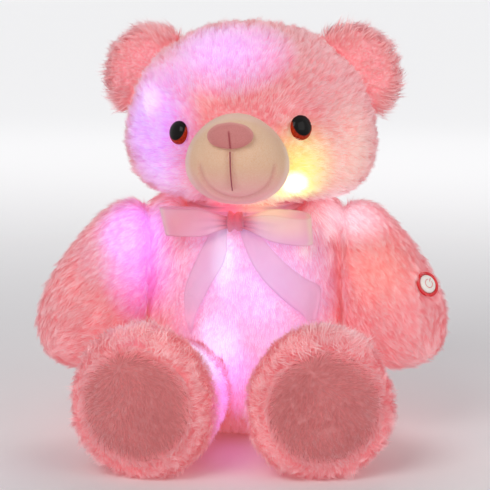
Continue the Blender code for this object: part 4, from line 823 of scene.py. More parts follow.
def growth():
    """The node group that sows tufts over a groomed surface."""
    found = bpy.data.node_groups.get("pile_growth")
    if found:
        return found
    tree = bpy.data.node_groups.new("pile_growth", "GeometryNodeTree")
    for title, kind in (
        ("Surface", "NodeSocketGeometry"), ("Tufts", "NodeSocketCollection"), ("Density", "NodeSocketFloat"),
        ("Length", "NodeSocketFloat"), ("Lean", "NodeSocketFloat"), ("Seed", "NodeSocketInt"),
    ):
        tree.interface.new_socket(title, in_out="INPUT", socket_type=kind)
    tree.interface.new_socket("Pile", in_out="OUTPUT", socket_type="NodeSocketGeometry")
    given, out = add(tree, "NodeGroupInput").outputs, add(tree, "NodeGroupOutput").inputs

    def read(name, kind):
        node = add(tree, "GeometryNodeInputNamedAttribute", data_type=kind)
        node.inputs["Name"].default_value = name
        return node.outputs["Attribute"]

    number, vector = partial(maths, tree), partial(vectors, tree)

    def chance(kind, low, high, salt):
        node = add(tree, "FunctionNodeRandomValue", data_type=kind)
        sockets = [socket for socket in node.inputs if socket.enabled]
        sockets[0].default_value = low
        sockets[1].default_value = high
        feed(tree, number("ADD", given["Seed"], salt), node.inputs["Seed"])
        return next(socket for socket in node.outputs if socket.enabled)

    pile = read("pile", "FLOAT")
    sown = add(tree, "GeometryNodeDistributePointsOnFaces", distribute_method="RANDOM")
    feed(tree, given["Surface"], sown.inputs["Mesh"])
    thinned = number("MINIMUM", number("MULTIPLY", pile, 2.5), 1.0)
    thinned = number("MULTIPLY", thinned, number("GREATER_THAN", pile, 0.045))
    feed(tree, number("MULTIPLY", given["Density"], thinned), sown.inputs["Density"])
    feed(tree, given["Seed"], sown.inputs["Seed"])
    normal = sown.outputs["Normal"]
    stray = chance("FLOAT_VECTOR", (-0.30, -0.30, -0.30), (0.30, 0.30, 0.30), 101)
    comb = vector("ADD", read("comb", "FLOAT_VECTOR"), stray)
    leaning = vector("SCALE", comb, scale=number("MULTIPLY", given["Lean"], chance("FLOAT", 0.3, 1.5, 102)))
    rise = vector("NORMALIZE", vector("ADD", normal, leaning))
    axes = add(tree, "FunctionNodeAxesToRotation", primary_axis="Z", secondary_axis="X")
    feed(tree, rise, axes.inputs[0])
    feed(tree, comb, axes.inputs[1])
    chosen = add(tree, "GeometryNodeCollectionInfo", transform_space="ORIGINAL")
    feed(tree, given["Tufts"], chosen.inputs["Collection"])
    chosen.inputs["Separate Children"].default_value = True
    chosen.inputs["Reset Children"].default_value = True
    set_out = add(tree, "GeometryNodeInstanceOnPoints")
    feed(tree, sown.outputs["Points"], set_out.inputs["Points"])
    feed(tree, chosen.outputs[0], set_out.inputs["Instance"])
    set_out.inputs["Pick Instance"].default_value = True
    feed(tree, chance("INT", 0, 97, 103), set_out.inputs["Instance Index"])
    feed(tree, axes.outputs[0], set_out.inputs["Rotation"])
    size = number("MULTIPLY", number("MULTIPLY", given["Length"], pile), chance("FLOAT", 0.72, 1.18, 104))
    full = add(tree, "ShaderNodeCombineXYZ")
    for socket in full.inputs:
        feed(tree, size, socket)
    feed(tree, full.outputs[0], set_out.inputs["Scale"])
    kept = set_out.outputs[0]
    for name, kind, value in (("shade", "FLOAT", chance("FLOAT", 0.0, 1.0, 105)), ("lie", "FLOAT_VECTOR", rise)):
        store = add(tree, "GeometryNodeStoreNamedAttribute", data_type=kind, domain="INSTANCE")
        feed(tree, kept, store.inputs["Geometry"])
        store.inputs["Name"].default_value = name
        feed(tree, value, store.inputs["Value"])
        kept = store.outputs[0]
    real = add(tree, "GeometryNodeRealizeInstances")
    feed(tree, kept, real.inputs[0])
    across, ahead, up = parts_of(tree, add(tree, "GeometryNodeInputPosition").outputs[0])
    raised = add(tree, "ShaderNodeCombineXYZ")
    for socket, value in zip(raised.inputs, (across, ahead, number("MAXIMUM", up, FLOOR_CLEAR))):
        feed(tree, value, socket)
    moved = add(tree, "GeometryNodeSetPosition")
    feed(tree, real.outputs[0], moved.inputs["Geometry"])
    feed(tree, raised.outputs[0], moved.inputs["Position"])
    feed(tree, moved.outputs[0], out[0])
    return tree


def groom(piece, flow, near=(), under=(), facing=(), reach=0.005, share_at=None, swirl=0.30):
    """Combs the piece: stores which way its pile lies, and how much of its length it has.

    The pile is shorter beside what it would cover, under what lies on it, and where another form is close.
    """
    beside = cad_tree(near) if near else None
    pressed = [(cad_tree(names), room, least) for names, room, least in (
        (under, 0.008, 0.16), (facing, 0.014, 0.50)) if names]
    mesh = piece.data
    combs, piles = [], []
    for vert in mesh.vertices:
        normal, spot = vert.normal, vert.co
        way, left = flow(spot, normal).normalized(), 1.0
        way += noise.noise_vector(spot * 48) * swirl + noise.noise_vector(spot * 17) * swirl
        if beside:
            nearest, _, _, gap = beside.find_nearest(spot)
            pull = math.exp(-gap / 0.005)
            away = (spot - nearest).normalized()
            way = way * (1 - pull) + away * pull
            left = min(left, max(0.22, smoothed((gap + 0.0004) / reach)))
        for tree, room, least in pressed:
            hit = tree.ray_cast(spot + normal * 0.0002, normal, 0.03)
            if hit[0]:
                left = min(left, max(least, hit[3] / room))
            inner = tree.find_nearest(spot)
            if inner[3] < 0.0012:
                left = min(left, 0.04)
        if share_at:
            left *= share_at(spot, normal)
        way -= normal * way.dot(normal)
        combs.append(way.normalized())
        piles.append(left)
    comb = mesh.attributes.new("comb", "FLOAT_VECTOR", "POINT")
    comb.data.foreach_set("vector", [value for way in combs for value in way])
    pile = mesh.attributes.new("pile", "FLOAT", "POINT")
    pile.data.foreach_set("value", piles)


def grow(piece, name, tufts, body, long=None, density=None, parts=1, lean=None, seed=0):
    """Grows the groomed piece's pile in so many parts, each a mesh of its own that rides on the body."""
    chosen = bpy.context.scene.bear_pile
    for part in range(parts):
        label = f"{name}_{part + 1}" if parts > 1 else name
        carrier = bpy.data.objects.new(label, piece.data.copy())
        bpy.context.scene.collection.objects.link(carrier)
        sower = carrier.modifiers.new("pile", "NODES")
        sower.node_group = growth()
        values = {
            "Tufts": tufts,
            "Density": (density or chosen.density) / parts,
            "Length": long or chosen.length,
            "Lean": lean or chosen.lean,
            "Seed": seed * 31 + part,
        }
        for item in sower.node_group.interface.items_tree:
            if item.name in values and item.in_out == "INPUT":
                sower[item.identifier] = values[item.name]
        bpy.context.view_layer.update()
        graph = bpy.context.evaluated_depsgraph_get()
        mesh = bpy.data.meshes.new_from_object(carrier.evaluated_get(graph))
        mesh.name = label
        carrier.modifiers.clear()
        carrier.data = mesh
        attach(carrier, body)


def plush_tufts():
    return tufts_of("plush_tufts", material("plush_pile", pile_surface(own("root"), own("tip"))))


def padded_form(name, bm, body, nodes, finish=None):
    piece = finished(name, bm, finish or material("plush_backing", backing_surface))
    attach(piece, body)
    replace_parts(piece, *nodes)
    return piece


def stuffed(part, lumps, seed, lift=None):
    """The padded cover of a stuffed part, with lumps of this height and scale.

    The lift gives how far up each of its points goes.
    """
    nodes = (f"{part}_skin", f"{part}_stuffing")
    bm = puffed(drawn_in(nodes, times=6))
    for vert in bm.verts if lift else ():
        vert.co.z += lift(vert.co)
    lumpy(bm, *lumps, seed)
    return padded_form(f"{part}_plush", bm, part, nodes)


def refinish(node, name, build):
    """Gives the CAD's own mesh another material."""
    for slot in frame["nodes"][node].material_slots:
        slot.material = material(name, build)


def skins_beside(part):
    return [name for name in SKINS if name != f"{part}_skin"]


# Operators, one for each piece or group of like pieces


class TorsoOperator(bpy.types.Operator):
    """Pads the torso and grows its pile, which lies down and outward"""

    bl_idname = "bear.torso"
    bl_label = "Torso"

    def execute(self, context):
        shoulder, blend = 0.150, 0.03

        def lift(spot):
            aside = abs(spot.x - NECK.x)
            raised = 0.014 * rising(aside, 0.042, 0.022) + 0.012 * rising(aside, 0.056, 0.018)
            return raised * rising(spot.z, shoulder, blend)

        def longer(spot, normal):
            return 1 + 0.9 * rising(abs(spot.x - NECK.x), 0.040, 0.03) * rising(spot.z, shoulder, blend)

        piece = stuffed("torso", (0.0016, 28), 1, lift)
        groom(
            piece, lambda spot, normal: Vector(((spot.x - NECK.x) * 5, 0, -1)),
            near=("ribbon_collar",) + ZIP, under=BOW, facing=skins_beside("torso"), share_at=longer,
        )
        grow(piece, "torso_pile", plush_tufts(), "torso", parts=3, seed=1)
        return {"FINISHED"}


class HeadOperator(bpy.types.Operator):
    """Pads the head and grows its pile, which runs outward from the muzzle and down the back"""

    bl_idname = "bear.head"
    bl_label = "Head"

    def execute(self, context):
        piece = stuffed("head", (0.0016, 24), 2)
        source, middle = middle_of("muzzle"), middle_of("head_skin")

        def flow(spot, normal):
            back = rising(spot.y, middle.y, 0.05)
            return (spot - source).normalized() * (1 - back) + Vector((0, 0.2, -1)) * back

        groom(
            piece, flow, near=("muzzle", "eye_left", "eye_right", "ribbon_collar"), under=BOW,
            facing=("torso_skin", "ear_left", "ear_right"),
        )
        grow(piece, "head_pile", plush_tufts(), "head", parts=3, seed=2)
        return {"FINISHED"}


class EarsOperator(bpy.types.Operator):
    """Pads both ears: long pile round the rim, shorter in the cup"""

    bl_idname = "bear.ears"
    bl_label = "Ears"

    def execute(self, context):
        finish = material("ear_pile", pile_surface(paint(0.96, 0.65, 0.64), own("tip"), 0.80))
        tufts = tufts_of("ear_tufts", finish)
        for side, _ in LEFT_AND_RIGHT:
            node = f"ear_{side}"
            middle = middle_of(node)
            base = middle + (middle_of("head_skin") - middle) * 0.45
            piece = padded_form(f"{node}_plush", drawn_in((node,), times=3), "head", (node,))

            def cup(spot, normal, middle=middle):
                outward = math.hypot(spot.x - middle.x, spot.z - middle.z)
                inside = falling(outward, 0.030, 0.016) * (1 if normal.y < 0 else 0.3)
                return 1 - 0.35 * inside + rising(outward, 0.024, 0.012)

            groom(
                piece, lambda spot, normal, base=base: spot - base, facing=("head_skin",), share_at=cup,
            )
            grow(piece, f"{node}_pile", tufts, "head", context.scene.bear_pile.length * 0.72, seed=3)
        return {"FINISHED"}


class ArmsOperator(bpy.types.Operator):
    """Pads both arms, with pile that runs down to the hands"""

    bl_idname = "bear.arms"
    bl_label = "Arms"

    def execute(self, context):
        for count, (side, out) in enumerate(LEFT_AND_RIGHT):
            arm = f"arm_{side}"
            shoulder = Vector(JOINTS[f"{arm}_swing"]["pos_m"])
            low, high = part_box(f"{arm}_skin")
            way = Vector((high.x if side == "left" else low.x, low.y, low.z + 0.03)) - shoulder

            def lift(spot, shoulder=shoulder, out=out):
                return 0.003 * falling((spot.x - shoulder.x) * out, 0.045, 0.04) * rising(spot.z, 0.170, 0.03)

            def longer(spot, normal, shoulder=shoulder, out=out):
                inward = falling((spot.x - shoulder.x) * out, 0.020, 0.03)
                return 1 + 0.4 * inward * rising(spot.z, 0.165, 0.03)

            piece = stuffed(arm, (0.0014, 30), 3 + count, lift)
            groom(
                piece, lambda spot, normal, way=way: way, facing=skins_beside(arm), share_at=longer,
                near=("button_ring", "button_cap") if side == "left" else (),
            )
            grow(piece, f"{arm}_pile", plush_tufts(), arm, parts=2, seed=5 + count)
        return {"FINISHED"}


class LegsOperator(bpy.types.Operator):
    """Pads both legs: the pile runs to the foot and stands out round the sole"""

    bl_idname = "bear.legs"
    bl_label = "Legs"

    def execute(self, context):
        for count, (side, _) in enumerate(LEFT_AND_RIGHT):
            leg = f"leg_{side}"
            sole = middle_of(f"sole_{side}")
            ahead = (sole - Vector(JOINTS[f"{leg}_raise"]["pos_m"])).normalized()

            def flow(spot, normal, sole=sole, ahead=ahead):
                depth = (spot - sole).dot(ahead)
                close = smoothed(1 + depth / 0.07)
                radial = (spot - sole) - ahead * depth
                return ahead * (1 - 0.15 * close) + radial.normalized() * 0.55 * close

            def length_at(spot, normal, sole=sole, ahead=ahead):
                """Bare under the sole, short round it, and long on top of the foot."""
                depth = (spot - sole).dot(ahead)
                radial = ((spot - sole) - ahead * depth).length
                short = 1.0
                if depth > -0.012:
                    if radial < 0.0455:
                        return 0.0
                    short = rising(radial, 0.0435, 0.0100)
                top = rising(spot.z - sole.z, 0.025, 0.02) * rising(depth, -0.05, 0.03)
                return (1 + 0.45 * top) * (0.35 + 0.65 * short)

            piece = stuffed(leg, (0.0014, 30), 7 + count)
            groom(piece, flow, facing=skins_beside(leg), share_at=length_at)
            grow(
                piece, f"{leg}_pile", plush_tufts(), leg, context.scene.bear_pile.length * 1.05, parts=2,
                seed=9 + count,
            )
        return {"FINISHED"}


class SolesOperator(bpy.types.Operator):
    """Pads the round soles and gives them their short pile"""

    bl_idname = "bear.soles"
    bl_label = "Soles"

    def execute(self, context):
        border = (paint(0.95, 0.57, 0.59), paint(1.0, 0.86, 0.85))
        finish = material("sole_pile", pile_surface(own("sole"), paint(0.92, 0.61, 0.60), 1.0, border))
        tufts = tufts_of("sole_tufts", finish, strands=5)
        for side, _ in LEFT_AND_RIGHT:
            node = f"sole_{side}"
            piece = padded_form(
                f"{node}_pad", drawn_in((node,), times=3), f"leg_{side}", (node,),
                material("sole_cloth_weave", sole_surface),
            )
            low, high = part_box(node)
            middle, half = (low + high) / 2, (high.x - low.x) / 2

            def outward(spot, middle=middle, half=half):
                return math.hypot(spot.x - middle.x, spot.z - middle.z) / half

            edge = piece.data.attributes.new("edge", "FLOAT", "POINT")
            edge.data.foreach_set("value", [rising(outward(vert.co), 0.70, 0.32) for vert in piece.data.vertices])
            groom(
                piece, lambda spot, normal, middle=middle: Vector((0.2, 0, -0.5)) + (spot - middle) * 16,
                share_at=lambda spot, normal, outward=outward: 1 + 0.9 * rising(outward(spot), 0.78, 0.22),
                swirl=0.7,
            )
            grow(
                piece, f"{node}_pile", tufts, f"leg_{side}", context.scene.bear_pile.sole_length,
                density=300000, lean=0.7, seed=12,
            )
        return {"FINISHED"}


class MuzzleOperator(bpy.types.Operator):
    """Pads the muzzle, with a crease for the smile and a fold where the mouth line pulls it in"""

    bl_idname = "bear.muzzle"
    bl_label = "Muzzle"

    def execute(self, context):
        bm = drawn_in(("muzzle",), detail=7, times=30)
        rim, seam_and_crease_shade = (bm.verts.layers.float.new(mark) for mark in ("rim", "seam_and_crease_shade"))
        low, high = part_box("muzzle")
        middle, half = (low + high) / 2, (high - low) / 2
        mouth = cad_tree(("mouth_stitch",))
        for vert in bm.verts:
            across = (vert.co.x - middle.x) / half.x
            up = (vert.co.z - middle.z) / half.z
            vert[rim] = rising(math.hypot(across, up), 0.86, 0.10) * (0.75 if up < 0.3 else 0.35)
            if vert.normal.y > -0.1:
                continue
            smile = math.hypot(across / 0.70, (up + 0.04) / 0.72) - 1
            crease = bell(smile, 0.060) * falling(up, 0.10, 0.25)
            lip = bell(smile - 0.10, 0.07) * falling(up, 0.0, 0.3)
            fold = bell(mouth.find_nearest(vert.co)[3], 0.0035)
            # The crease and the fold also get painted shade in the colour.
            vert[seam_and_crease_shade] = min(1.0, crease + 0.6 * fold)
            vert.co += vert.normal * (0.0010 * lip - 0.0014 * crease - 0.0016 * fold)
        relax(bm, 2)
        padded_form(
            "muzzle_pad", bm, "head", ("muzzle",), material("muzzle_nap", muzzle_surface)
        )
        return {"FINISHED"}


class NoseOperator(bpy.types.Operator):
    """Pads the flocked nose, drawn in along its seam"""

    bl_idname = "bear.nose"
    bl_label = "Nose"

    def execute(self, context):
        bm = drawn_in(("nose",), times=40)
        seam_and_crease_shade, rim = (bm.verts.layers.float.new(mark) for mark in ("seam_and_crease_shade", "rim"))
        low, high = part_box("nose")
        middle, half = (low + high) / 2, (high - low) / 2
        for vert in bm.verts:
            vert.co += vert.normal * 0.0007
            off = vert.co - middle
            if vert.normal.y < 0.2:
                line = bell(off.x + 0.0009 + off.z * 0.10, 0.00085) * falling(off.z, 0.0065, 0.004)
                vert[seam_and_crease_shade] = line
                vert.co.y += 0.0012 * line
            # The rim mark: partly the soft border of the flocking, partly a painted highlight.
            vert[rim] = 0.8 * rising(math.hypot(off.x / half.x, off.z / half.z), 0.80, 0.2)
        padded_form("nose_pad", bm, "head", ("nose",), material("nose_flocking", nose_surface))
        refinish("mouth_stitch", "mouth_thread", thread_surface)
        return {"FINISHED"}


class EyesOperator(bpy.types.Operator):
    """Turns the two safety eyes: black domes with a clear brown crescent under the pupil"""

    bl_idname = "bear.eyes"
    bl_label = "Eyes"

    def execute(self, context):
        dome_height, brim, steps = 0.0062, 0.0006, 28
        for side, _ in LEFT_AND_RIGHT:
            node = f"eye_{side}"
            back = middle_of(f"eye_washer_{side}")
            aim = (middle_of(node) - back).normalized()
            ahead, out = measured(node, back, aim)
            radius, rim = max(out), max(ahead) - dome_height
            dome = [
                (radius * math.sin(angle), rim + dome_height * math.cos(angle))
                for angle in (math.pi / 2 * step / steps for step in range(steps + 1))
            ]
            dome += [(radius, rim - brim), (radius * 0.94, rim - 2 * brim), (0, rim - 2 * brim)]
            bm = turned(dome, 64, back, aim)
            clear = bm.verts.layers.float.new("iris")
            raised = (Z_AXIS - aim * aim.z).normalized()
            inward = Vector((-aim.x, 0, 0)).normalized()
            pupil = back + raised * radius * 0.20 + inward * radius * 0.06
            for vert in bm.verts:
                off = vert.co - pupil
                vert[clear] = rising((off - aim * off.dot(aim)).length / radius, 0.84, 0.05)
            eye = finished(f"{node}_dome", bm, material("eye_plastic_clear", eye_surface))
            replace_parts(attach(eye, "head"), node)
            refinish(f"eye_washer_{side}", "clear_nylon", plastic(shown(0.88, 0.88, 0.86), 0.3))
        return {"FINISHED"}


def strip(name, rows, finish, tuck=None, fold=None):
    """A ribbon through rows of points: each row runs across it. Its UV map is in widths.

    The marks tuck and fold, one number for each row, say where it is drawn together or folded over.
    """
    across, along = len(rows[0]) - 1, len(rows) - 1
    bm = bmesh.new()
    sheet = bm.loops.layers.uv.new("UVMap")
    marks = [(bm.verts.layers.float.new(mark), values) for mark, values in (("tuck", tuck), ("fold", fold))]
    grid = bmesh.ops.create_grid(bm, x_segments=across, y_segments=along, size=0.5)["verts"]
    seats = {
        vert: (round((vert.co.x + 0.5) * across), round((vert.co.y + 0.5) * along)) for vert in grid
    }
    run = [0.0]
    for before, after in zip(rows, rows[1:]):
        run.append(run[-1] + (after[across // 2] - before[across // 2]).length / RIBBON_WIDTH)
    for vert, (column, row) in seats.items():
        vert.co = rows[row][column]
        for mark, values in marks:
            vert[mark] = values[row] if values else 0.0
    for face in bm.faces:
        for loop in face.loops:
            column, row = seats[loop.vert]
            loop[sheet].uv = (column / across, run[row])
    bm.normal_update()
    return finished(name, bm, finish)


def eased(points, count):
    """A smooth line of count + 1 points through these (x, z) points."""
    last = len(points) - 1
    line = []
    for step in range(count + 1):
        at = last * step / count
        index = min(int(at), last - 1)
        share_on = at - index
        before, start, end, after = (
            Vector(points[min(max(index + offset, 0), last)]) for offset in (-1, 0, 1, 2)
        )
        line.append(0.5 * (
            2 * start + (end - before) * share_on
            + (2 * before - 5 * start + 4 * end - after) * share_on ** 2
            + (3 * start - before - 3 * end + after) * share_on ** 3
        ))
    return line


# The two edges of each tail of the bow, from the knot down, as (x, z) in front of the chest
TAIL_EDGES = {
    "right": (
        ((-0.0135, 0.1990), (-0.0251, 0.1936), (-0.0318, 0.1834), (-0.0397, 0.1676), (-0.0475, 0.1506),
         (-0.0510, 0.1381), (-0.0513, 0.1268), (-0.0500, 0.1142), (-0.0473, 0.1039), (-0.0445, 0.0950)),
        ((-0.0075, 0.1980), (-0.0130, 0.1936), (-0.0136, 0.1744), (-0.0174, 0.1619), (-0.0264, 0.1473),
         (-0.0342, 0.1324), (-0.0399, 0.1211), (-0.0430, 0.1108), (-0.0442, 0.1015), (-0.0440, 0.0945)),
    ),
    "left": (
        ((-0.0055, 0.1980), (-0.0030, 0.1936), (0.0015, 0.1801), (0.0081, 0.1653), (0.0170, 0.1517),
         (0.0283, 0.1393), (0.0395, 0.1290), (0.0506, 0.1199), (0.0574, 0.1119)),
        ((0.0010, 0.1990), (0.0103, 0.1946), (0.0170, 0.1857), (0.0304, 0.1710), (0.0438, 0.1585),
         (0.0572, 0.1483), (0.0684, 0.1415), (0.0695, 0.1308), (0.0652, 0.1110)),
    ),
}


class BowOperator(bpy.types.Operator):
    """Ties the satin ribbon: collar, knot, two loops and two tails"""

    bl_idname = "bear.bow"
    bl_label = "Bow"

    def execute(self, context):
        self.collar()
        self.knot()
        for side, out in LEFT_AND_RIGHT:
            self.loop(side, out)
            self.tail(side)
        return {"FINISHED"}

    def sewn(self, node, rows, held, rests_on, flat=None, tuck=None, fold=None, bends=None):
        """With bends, it is baked in place and rides on no body; the body, and where along the ribbon that begins
        and ends, are not used.
        """
        piece = strip(f"{node}_satin", rows, material("satin_ribbon", ribbon_surface), tuck, fold)
        area = sum(face.area for face in piece.data.polygons)
        middle = len(rows[0]) // 2
        run = sum((after[middle] - before[middle]).length for before, after in zip(rows, rows[1:]))
        solid = piece.modifiers.new("thickness", "SOLIDIFY")
        solid.thickness = SATIN_THICKNESS
        solid.offset = 0
        if bends:
            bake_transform(piece)
        else:
            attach(piece, "torso")
        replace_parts(piece, node)
        flat = flat or (RIBBON_WIDTH, max(run, area / RIBBON_WIDTH))

    def collar(self):
        """Round the neck, its 12 steps of height thrown into fine folds."""
        low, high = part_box("ribbon_collar")
        radius = (high.x - low.x) / 2 - 0.0006
        bottom, height = low.z + 0.0007, high.z - low.z - 0.0014
        steps, levels = 96, 12
        rows = []
        for step in range(steps + 1):
            angle = 2 * math.pi * step / steps - math.pi / 2
            row = []
            for level in range(levels + 1):
                up = level / levels
                reach = radius - 0.0020 + 0.0022 * math.sin(5 * math.pi * up + 0.7 * math.sin(5 * angle))
                around = Vector((reach * math.cos(angle), reach * math.sin(angle), 0))
                row.append(Vector((NECK.x, NECK.y, bottom + height * up)) + around)
            rows.append(row)
        self.sewn("ribbon_collar", rows, "gathered", ["torso_plush"], (RIBBON_WIDTH, 2 * math.pi * radius))

    def knot(self):
        low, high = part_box("bow_knot")
        middle, half = (low + high) / 2, (high - low) / 2
        steps, columns = 64, 24
        rows = []
        for step in range(steps + 1):
            angle = 2 * math.pi * step / steps
            row = []
            for column in range(columns + 1):
                across = 2 * column / columns - 1
                ruck = 1 + 0.10 * math.sin(6 * across + 1.1 * math.sin(2 * angle + 0.5))
                pinch = (0.70 + 0.20 * across * across) * ruck
                row.append(middle + Vector((
                    half.x * (0.78 + 0.10 * math.cos(2 * angle)) * across,
                    -half.y * pinch * math.cos(angle),
                    half.z * pinch * math.sin(angle),
                )))
            rows.append(row)
        tuck = [0.90 + 0.10 * math.sin(step * 0.2) for step in range(steps + 1)]
        self.sewn("bow_knot", rows, "gathered", ["ribbon_collar_satin"], tuck=tuck)

    def loop(self, side, out):
        """A loop: out along the front from the knot, round its fold, and back behind."""
        node = f"bow_loop_{side}"
        low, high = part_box(node)
        knot = middle_of("bow_knot")
        start = knot.x + out * 0.0040
        end = high.x if side == "left" else low.x - 0.0015
        sink = knot.z - (low.z + high.z) / 2
        depth, back = (high.y - low.y) / 2, (low.y + high.y) / 2
        lift = 0.0042 if side == "left" else 0.0006
        rows, tuck, fold = [], [], []
        count, columns = 56, 16
        for step in range(count + 1):
            angle = math.pi * (1 - 2 * step / count)
            reach = ((1 + math.cos(angle)) / 2) ** 0.80
            spread = 0.40 + 0.60 * smoothed(reach * 2.0)
            tuck.append(1 - smoothed(reach / 0.30))
            # The fold mark gives a painted highlight to the loop's folded outer end.
            fold.append(rising(reach, 0.90, 0.08) * 0.8)
            row = []
            for column in range(columns + 1):
                across = 2 * column / columns - 1
                pleat = 0.0013 * math.sin(9 * across + 2.2 * reach) * (1 - smoothed(reach * 1.5))
                open_by = 0.85 * depth * math.sin(angle) * (0.30 + 0.70 * reach)
                bow_out = 0.0012 * (1 - across * across) * reach * math.sin(angle)
                slant = 0.0026 * across * reach * out if side == "right" else -0.0010 * across * reach
                row.append(Vector((
                    start + (end - start) * reach + slant,
                    back - open_by - bow_out + pleat,
                    knot.z - sink * reach - lift * math.sin(angle) * reach
                    + spread * RIBBON_WIDTH / 2 * across * 0.97,
                )))
            rows.append(row)
        self.sewn(node, rows, "gathered", ["bow_knot_satin"], tuck=tuck, fold=fold)

    def tail(self, side):
        """A tail: it hangs from the knot and lies on the pile of the chest."""
        node = f"bow_tail_{side}"
        chest = cad_tree((node, "torso_skin"))
        # The skin opens where the legs join it, and a ray through there would go on to the back.
        in_front, deepest = -0.3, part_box(node)[1].y
        count, columns = 48, 12
        edges = [eased(edge, count) for edge in TAIL_EDGES[side]]
        knot = middle_of("bow_knot")
        depths = []
        for first, second in zip(*edges):
            line = []
            for column in range(columns + 1):
                spot = first.lerp(second, column / columns)
                hit = chest.ray_cast(Vector((spot.x, in_front, spot.y)), Vector((0, 1, 0)))[0]
                line.append(min(hit.y, deepest) if hit else deepest)
            depths.append(line)
        for _ in range(12):
            depths = [
                [
                    (depths[max(row - 1, 0)][column] + depths[min(row + 1, count)][column]
                     + depths[row][max(column - 1, 0)] + depths[row][min(column + 1, columns)]) / 4
                    for column in range(columns + 1)
                ]
                for row in range(count + 1)
            ]
        rows, tuck = [], []
        for row, (first, second) in enumerate(zip(*edges)):
            down = row / count
            hangs = smoothed(down / 0.12)
            tuck.append(1 - smoothed(down / 0.16))
            line = []
            for column in range(columns + 1):
                across = column / columns
                spot = first.lerp(second, across)
                pleat = 0.0010 * math.sin(12 * across) * (1 - smoothed(down / 0.35))
                wave = 0.0016 * math.sin(5 * down + 2.5 * across) * smoothed(down * 2)
                ahead = knot.y * (1 - hangs) + depths[row][column] * hangs
                line.append(Vector((spot.x, ahead - 0.0024 - abs(wave) + pleat, spot.y)))
            rows.append(line)
        start, end = (rows[round(count * down)][columns // 2] for down in (0.50, 0.95))
        self.sewn(node, rows, "hung", ["torso_plush"], tuck=tuck, bends=(f"leg_{side}", start, end))


# The cap's outline from its middle outward: how wide as a share of the cap, and how far below its top
CAP_OUTLINE = (
    (0, 0), (0.5, 0.00008), (0.80, 0.00035), (0.93, 0.0008), (0.985, 0.0014), (1, 0.0022), (1, 0.0034),
    (0, 0.0034),
)


class ButtonOperator(bpy.types.Operator):
    """Turns the button on the left arm: red ring and white cap with a plain on and off mark"""

    bl_idname = "bear.button"
    bl_label = "Button"

    def execute(self, context):
        chosen = context.scene.bear_colours
        red = material("button_red", plastic(tuple(chosen.ring), 0.22))
        white = material("button_white", plastic(tuple(chosen.cap), 0.25))
        aim = -Vector(JOINTS["button_press"]["axis"]).normalized()
        seat = middle_of("button_ring")
        ahead, out = measured("button_ring", seat, aim)
        low, high = min(ahead), max(ahead)
        middle, half = (max(out) + min(out)) / 2, (max(out) - min(out)) / 2
        steps = 16
        profile = [(max(out), low)]
        for angle in (math.pi * step / steps for step in range(steps + 1)):
            up = 0.35 + 0.65 * math.sin(angle)
            profile.append((middle + half * math.cos(angle), low + (high - low) * up))
        profile.append((min(out), low))
        ring = finished("button_ring_red", turned(profile, 64, seat, aim, closed=True), red)
        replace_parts(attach(ring, "arm_left"), "button_ring")

        ahead, out = measured("button_cap", seat, aim)
        top, wide = max(ahead), max(out)
        dome = [(wide * part, top - below) for part, below in CAP_OUTLINE]
        cap = finished("button_cap_white", turned(dome, 64, seat, aim), white)
        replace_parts(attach(cap, "button"), "button_cap")
        self.mark(seat + aim * (top - 0.00006), aim, wide, red)
        return {"FINISHED"}

    def mark(self, place_at, aim, wide, finish):
        """The plain sign for on and off: a ring open at the top, and a bar in the opening."""
        inner, line, low, high = wide * 0.44, 0.00045, -0.00008, 0.00010
        profile = [(inner, low), (inner + line, low), (inner + line, high), (inner, high)]
        bm = turned(profile, 40, place_at, aim, closed=True, degrees=300, start=120)
        bar = bmesh.ops.create_cube(bm, size=1)["verts"]
        bmesh.ops.scale(bm, vec=(0.00055, wide * 0.42, high - low), verts=bar)
        bmesh.ops.translate(bm, vec=(0, wide * 0.46, (high + low) / 2), verts=bar)
        bmesh.ops.transform(bm, matrix=standing(place_at, aim), verts=bar)
        sign = finished("button_mark", bm, finish, smooth=False)
        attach(sign, "button")


# What each of the plain finishes is like, and the CAD's meshes that get it
FITTINGS = {
    "wire": (plastic(shown(0.80, 0.12, 0.10), 0.4), ("wires_head", "wires_torso", "wires_arm_left")),
    "box": (plastic(shown(0.90, 0.89, 0.87), 0.4), ("battery_box", "battery_lid")),
    "steel": (metal(shown(0.78, 0.78, 0.80)), ("battery_lid_screw", "button_spring")),
    "brass": (metal(shown(0.86, 0.72, 0.42)), ("contact_bridge_top", "contact_bridge_bottom")),
    "cell": (plastic(shown(0.20, 0.45, 0.34), 0.3), ("battery_cell_1", "battery_cell_2", "battery_cell_3")),
    "board": (plastic(shown(0.10, 0.36, 0.20), 0.45), ("control_board", "switch_board")),
    "white": (plastic(shown(0.95, 0.94, 0.92), 0.35), ("switch_housing",)),
    "tape": (woven(shown(0.93, 0.62, 0.66)), ("zip_tape_left", "zip_tape_right")),
    "nylon": (plastic(shown(0.93, 0.58, 0.63), 0.35), ("zip_teeth_left", "zip_teeth_right")),
    "zip": (metal(shown(0.90, 0.66, 0.68), 0.28), ("zip_slider", "zip_pull")),
    "white_lens": (lens((0.90, 0.88, 1.0)), ("led_chest",)),
    "pink_lens": (lens((1.0, 0.45, 0.80)), ("led_belly", "led_crown")),
    "violet_lens": (lens((0.55, 0.30, 1.0)), ("led_shoulder", "led_cheek_right")),
    "yellow_lens": (lens((1.0, 0.85, 0.35)), ("led_cheek_left",)),
    "orange_lens": (lens((1.0, 0.45, 0.12)), ("led_hand",)),
}
LOOSE_TUFTS = ("plush_tufts", "ear_tufts", "sole_tufts")


